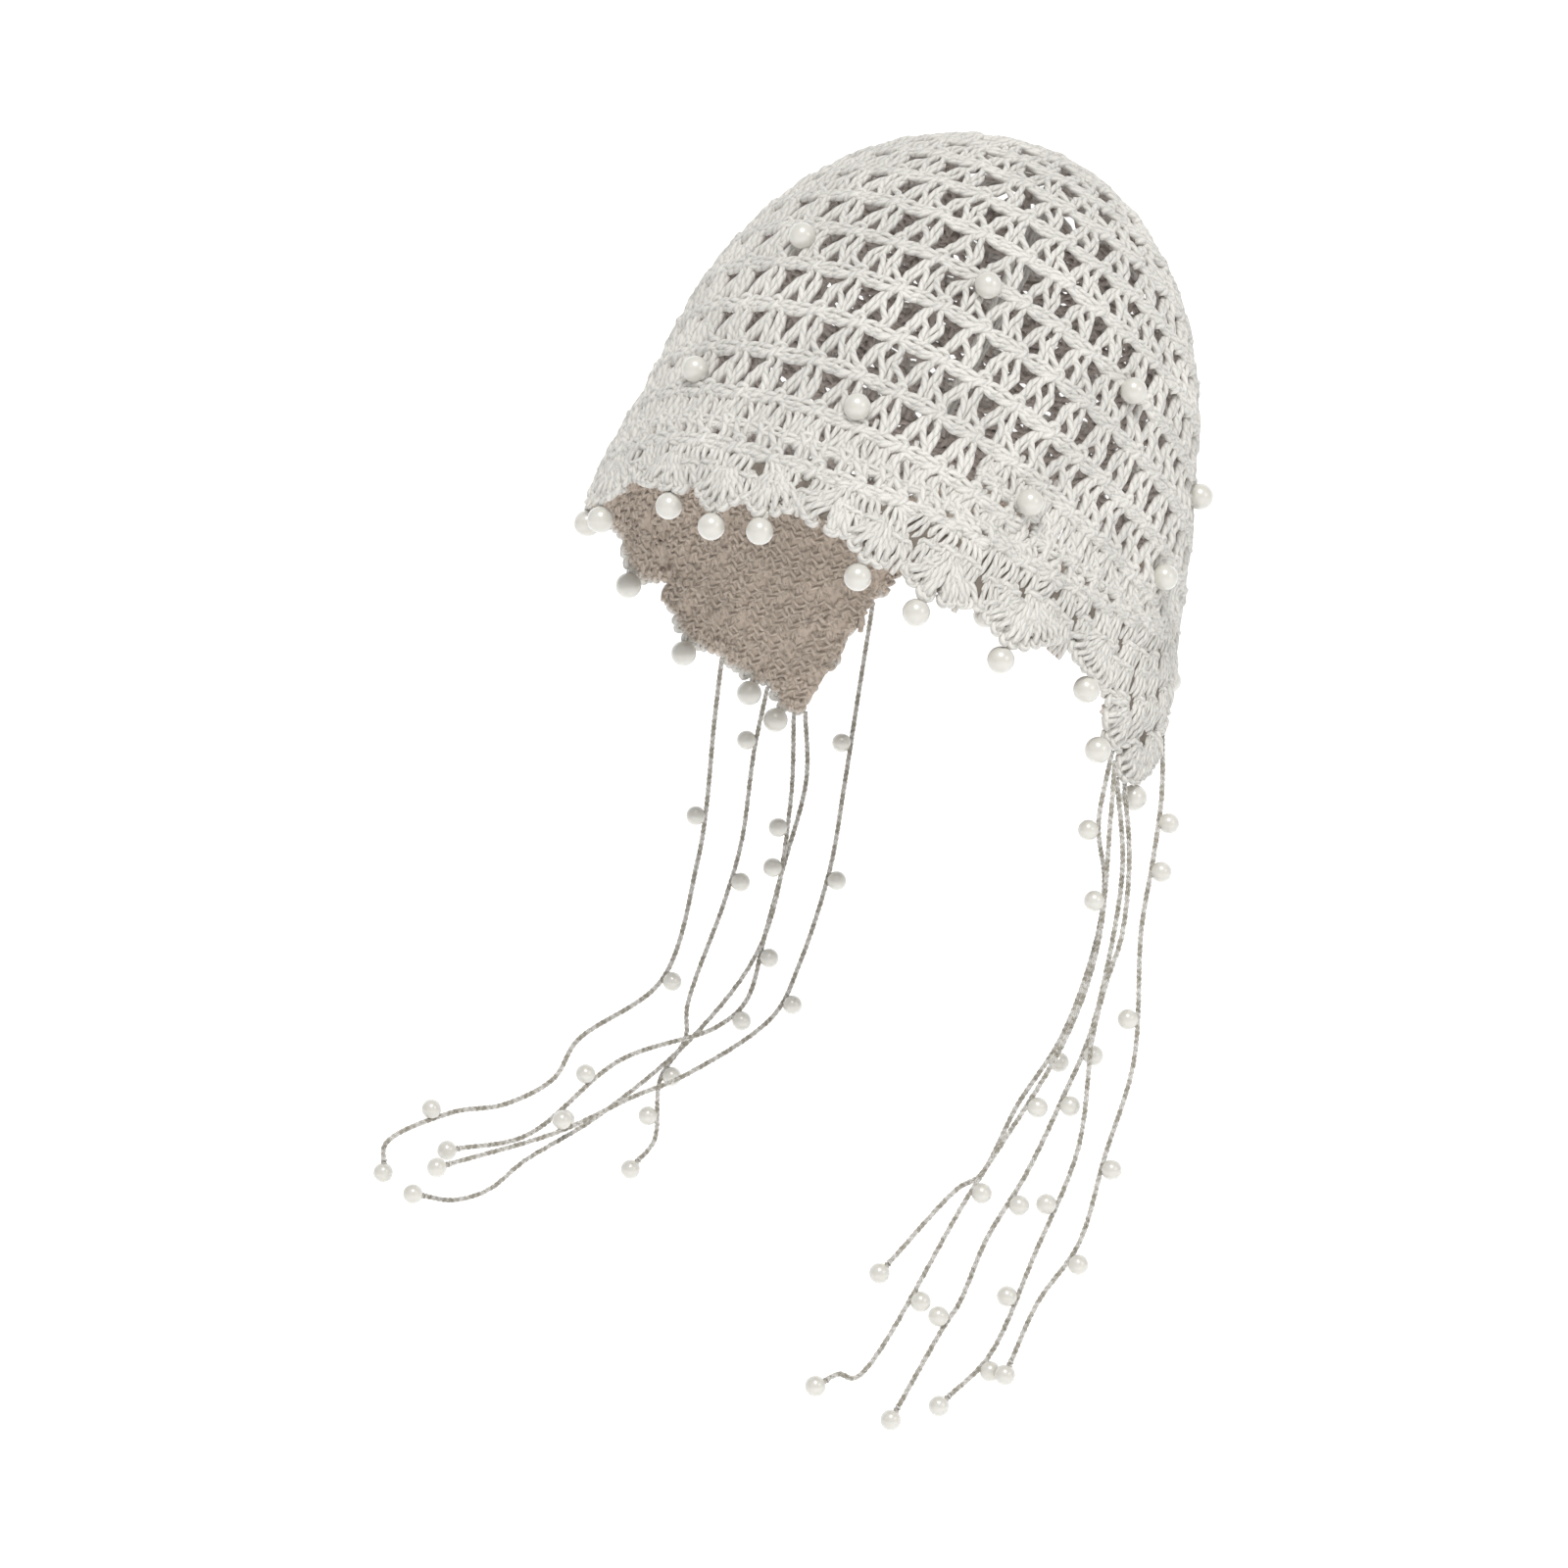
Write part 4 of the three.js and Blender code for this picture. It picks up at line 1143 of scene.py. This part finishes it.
class BEANIE_OT_pearls(Operator):
    """Sews the pearls on the crown and hangs those of the edge on their loops"""

    bl_idname = "beanie.pearls"
    bl_label = "Pearls"

    def execute(self, context):
        radius = context.scene.beanie_pearls.radius
        nodes = sorted_nodes("crown_pearl")
        piece("crown_pearls", joined_balls("crown_pearls", map(node_middle, nodes), radius), nodes)
        hang = PEARL_RADIUS + EDGE_HANG
        centres, loops = [], []
        for turn, share, _, _, turned in [f for f in FANS if f[3]]:
            depth = CAP_DEPTH * share
            tip = on_cap(turn, depth, -WALL / 2)
            fall = unit(on_cap(turn + turned, depth + hang, -WALL / 2) - tip)
            fall = unit(0.7 * fall + 0.3 * np.array([0, 0, -1.0]))
            centre = tip + fall * hang
            centres.append(centre * MM)
            aside = np.cross(fall, cap_normal(turn, depth))
            for side in (-1, 1):
                points = [
                    tip - fall * 1.2 + aside * side * 1.1, tip + fall * 0.3 + aside * side * 0.9,
                    centre - fall * 3.9 + aside * side * 0.35, centre - fall * 3.2,
                ]
                loops.append(smooth(np.array(points) * MM, 3))
        yarn = spin_lines("edge_loops", loops, LOOP_YARN * settings().diameter)
        mesh = merge_meshes("edge_pearls", [joined_balls("edge_beads", centres, radius), yarn])
        piece("edge_pearls", mesh, sorted_nodes("edge_pearl"))
        return {"FINISHED"}


def tie_route(name):
    """The tie's line in mm, from the edge to its end pearl"""
    turn, clear, route, _ = TIES[name]
    rim = [on_cap(t, rim_at_turn(t), -WALL / 2) for t in (turn - 0.4, turn, turn + 0.4)]
    away = unit(np.cross(rim[2] - rim[0], cap_normal(turn, float(seam_depth(turn)))))
    return smooth([rim[1] + away * clear, *route], ROUTE_PARTS, 0.5)


def along_line(line, arc):
    """Point and direction at arc lengths of a line"""
    total = arc_lengths(line)

    def at(where):
        return np.stack([np.interp(where, total, line[:, c]) for c in range(3)], -1)

    return at(arc), unit(at(np.minimum(arc + 0.3, total[-1])) - at(np.maximum(arc - 0.3, 0)))


def chain_lines(line):
    """Three strands that cross as those of a crocheted chain, along a line in mm"""
    length = arc_lengths(line)[-1]
    arc = np.linspace(0, length, int(length / TIE_LINK * 4))
    at, run = along_line(line, arc)
    side = unit(np.cross(run, FACING))
    front = np.cross(side, run)
    lines = []
    for k in range(3):
        a = 2 * math.pi * (arc / (2 * TIE_LINK) + k / 3)
        x = TIE_WIDTH * np.sin(a)
        z = 0.5 * TIE_WIDTH * np.sin(2 * a)
        lines.append((at + side * x[:, None] + front * z[:, None]) * MM)
    return lines


def end_knot(at, run):
    """The yarn that closes a tie on its last pearl, in metres"""
    side = unit(np.cross(run, FACING))
    face = np.cross(side, run)
    angle = np.linspace(0, 4.4 * math.pi, 20)[:, None]
    out = np.linspace(-2.2, 0.2, 20)[:, None]
    return [(at + run * out + (side * np.cos(angle) + face * np.sin(angle)) * 0.75) * MM]


def knot_lines(at, run, aside):
    """The yarn that goes from a tie round a pearl's stem, in metres"""
    face = np.cross(run, aside)
    out = np.linspace(0.2, 1.6, 12)[:, None]
    spread = np.interp(out, [0.2, 0.9, 1.6], [1.0, 0.85, 0.5])
    lines = []
    for k in range(2):
        angle = np.linspace(0, 2.2 * math.pi, 12)[:, None] + k * math.pi
        lines.append((at + aside * out + spread * (run * np.cos(angle) + face * np.sin(angle))) * MM)
    stem = [at - run * 1.9 - aside * 0.2, at - run * 0.5 + aside * 0.5, at + aside * 1.7]
    return [*lines, np.array(stem) * MM]


class BEANIE_OT_ties(Operator):
    """Chains the ties of both flaps and fixes their pearls"""

    bl_idname = "beanie.ties"
    bl_label = "Ties"

    def execute(self, context):
        radius = context.scene.beanie_pearls.tie_radius
        for side in ("left", "right"):
            names = [n for n in TIES if f"_{side}_" in n]
            lines, centres = [], []
            for name in names:
                line = tie_route(name)
                lines += chain_lines(line)
                length = arc_lengths(line)[-1]
                for share, hand in TIES[name][3]:
                    at, run = along_line(line, share * length)
                    aside = unit(np.cross(run, FACING)) * hand
                    lines += knot_lines(at, run, aside)
                    centres.append((at + aside * (STRAND_PEARL + CORD_RADIUS - PEARL_BITE)) * MM)
                at, run = along_line(line, length)
                lines += end_knot(at, run)
                centres.append((at + run * (STRAND_PEARL - END_BITE)) * MM)
            piece(f"ties_{side}", spin_lines(f"ties_{side}", lines, TIE_YARN), names)
            piece(f"tie_pearls_{side}", joined_balls(f"tie_pearls_{side}", centres, radius), names)
        return {"FINISHED"}


# Stage
CAMERA_TURN = math.radians(43.689)
CAMERA_RISE = math.radians(8.857)
CAMERA_FAR = 1.3822
CAMERA_SHIFT = (-0.0423, -0.0997)
LENS = 100
SENSOR = 36
PAPER_HALF_WIDTH = 5.0
PAPER_FRONT = -4.0
PAPER_BACK = 1.6
PAPER_BEND = 1.2
PAPER_TOP = 5.0
PAPER_GLOW = 0.45
WORLD_LIGHT = 0.5
KEY_POWER = 31
SIDE_POWER = 4


def area_light(name, place, target, size, power, colour=(1, 1, 1)):
    data = bpy.data.lights.new(name, "AREA")
    data.shape = "DISK"
    data.size = size
    data.energy = power
    data.color = colour
    made = linked(name, data)
    made.location = place
    made.rotation_mode = "QUATERNION"
    made.rotation_quaternion = (Vector(target) - Vector(place)).to_track_quat("-Z", "Y")


class BEANIE_OT_stage(Operator):
    """Sets the camera, the soft lights and the pale floor"""

    bl_idname = "beanie.stage"
    bl_label = "Stage"

    def execute(self, context):
        stage = context.scene.beanie_stage
        self.make_camera(context)
        self.make_floor(stage)
        self.make_lights(context, stage)
        return {"FINISHED"}

    def make_camera(self, context):
        a, e = CAMERA_TURN, CAMERA_RISE
        back = Vector((math.sin(a) * math.cos(e), -math.cos(a) * math.cos(e), math.sin(e)))
        right = Vector((math.cos(a), math.sin(a), 0))
        up = right.cross(-back)
        data = bpy.data.cameras.new("photo_camera")
        data.lens = LENS
        data.sensor_width = SENSOR
        data.clip_end = 50
        camera = linked("photo_camera", data)
        camera.location = back * CAMERA_FAR + right * CAMERA_SHIFT[0] + up * CAMERA_SHIFT[1]
        camera.rotation_mode = "QUATERNION"
        camera.rotation_quaternion = (-back).to_track_quat("-Z", "Y")
        context.scene.camera = camera

    def make_floor(self, stage):
        """A floor that turns up into a wall behind the cap, as one sheet of paper"""
        low = CAD_BOX[0].z - stage.floor_drop
        away = Vector((-math.sin(CAMERA_TURN), math.cos(CAMERA_TURN), 0))
        right = Vector((math.cos(CAMERA_TURN), math.sin(CAMERA_TURN), 0))
        profile = [(PAPER_FRONT, 0.0), (-1.0, 0.0), (PAPER_BACK, 0.0)]
        for angle in np.linspace(0, math.pi / 2, 13)[1:]:
            profile.append((PAPER_BACK + PAPER_BEND * math.sin(angle), PAPER_BEND * (1 - math.cos(angle))))
        profile.append((PAPER_BACK + PAPER_BEND, PAPER_TOP))
        verts = []
        for reach, rise in profile:
            for side in (-PAPER_HALF_WIDTH, PAPER_HALF_WIDTH):
                verts.append(away * reach + right * side + Vector((0, 0, low + rise)))
        faces = [(2 * k, 2 * k + 1, 2 * k + 3, 2 * k + 2) for k in range(len(profile) - 1)]
        floor = mesh_object("floor", verts, faces)
        floor.data.shade_smooth()
        paint = Paint("pale_floor")
        mixed = paint.mix(paint.noise(2.0), (0.90, 0.90, 0.90, 1), (0.93, 0.93, 0.93, 1))
        floor.data.materials.append(paint.finish(mixed, {
            "Roughness": 0.9, "Emission Color": (1, 1, 1, 1), "Emission Strength": PAPER_GLOW,
        }))

    def make_lights(self, context, stage):
        world = bpy.data.worlds.new("studio")
        world.use_nodes = True
        ground = world.node_tree.nodes["Background"]
        ground.inputs["Color"].default_value = (1, 1, 1, 1)
        ground.inputs["Strength"].default_value = WORLD_LIGHT * stage.light
        context.scene.world = world
        area_light("key", (0.95, -1.0, 1.7), (0, 0, 0), 0.9, KEY_POWER * stage.light, (1, 1, 0.99))
        area_light("side", (1.8, 0.2, 0.5), (0, 0, -0.05), 0.8, SIDE_POWER * stage.light)
        context.scene.view_settings.view_transform = "Standard"


class BEANIE_PT_panel(Panel):
    """Lists the pieces of the beanie"""

    bl_label = "Crochet beanie"
    bl_idname = "BEANIE_PT_panel"
    bl_space_type = "VIEW_3D"
    bl_region_type = "UI"
    bl_category = "Beanie"

    def draw(self, context):
        scene = context.scene
        for owner in (scene.beanie_yarn, scene.beanie_colours, scene.beanie_pearls, scene.beanie_stage):
            box = self.layout.box()
            for key in owner.__annotations__:
                box.prop(owner, key)
        for operator in OPERATORS:
            self.layout.operator(operator.bl_idname)


GROUPS = (
    ("beanie_yarn", YarnSizes), ("beanie_colours", YarnColours),
    ("beanie_pearls", PearlSizes), ("beanie_stage", StageSettings),
)
OPERATORS = (BEANIE_OT_stage, BEANIE_OT_net, BEANIE_OT_border, BEANIE_OT_pearls, BEANIE_OT_ties)


def register():
    for key, group in GROUPS:
        bpy.utils.register_class(group)
        setattr(bpy.types.Scene, key, PointerProperty(type=group))
    for operator in (*OPERATORS, BEANIE_PT_panel):
        bpy.utils.register_class(operator)


def unregister():
    for operator in reversed((*OPERATORS, BEANIE_PT_panel)):
        bpy.utils.unregister_class(operator)
    for key, group in reversed(GROUPS):
        delattr(bpy.types.Scene, key)
        bpy.utils.unregister_class(group)


def main():
    register()
    bpy.ops.beanie.stage()
    bpy.ops.beanie.net()
    bpy.ops.beanie.border()
    bpy.ops.beanie.pearls()
    bpy.ops.beanie.ties()
    remove(former())


if __name__ == "__main__":
    main()
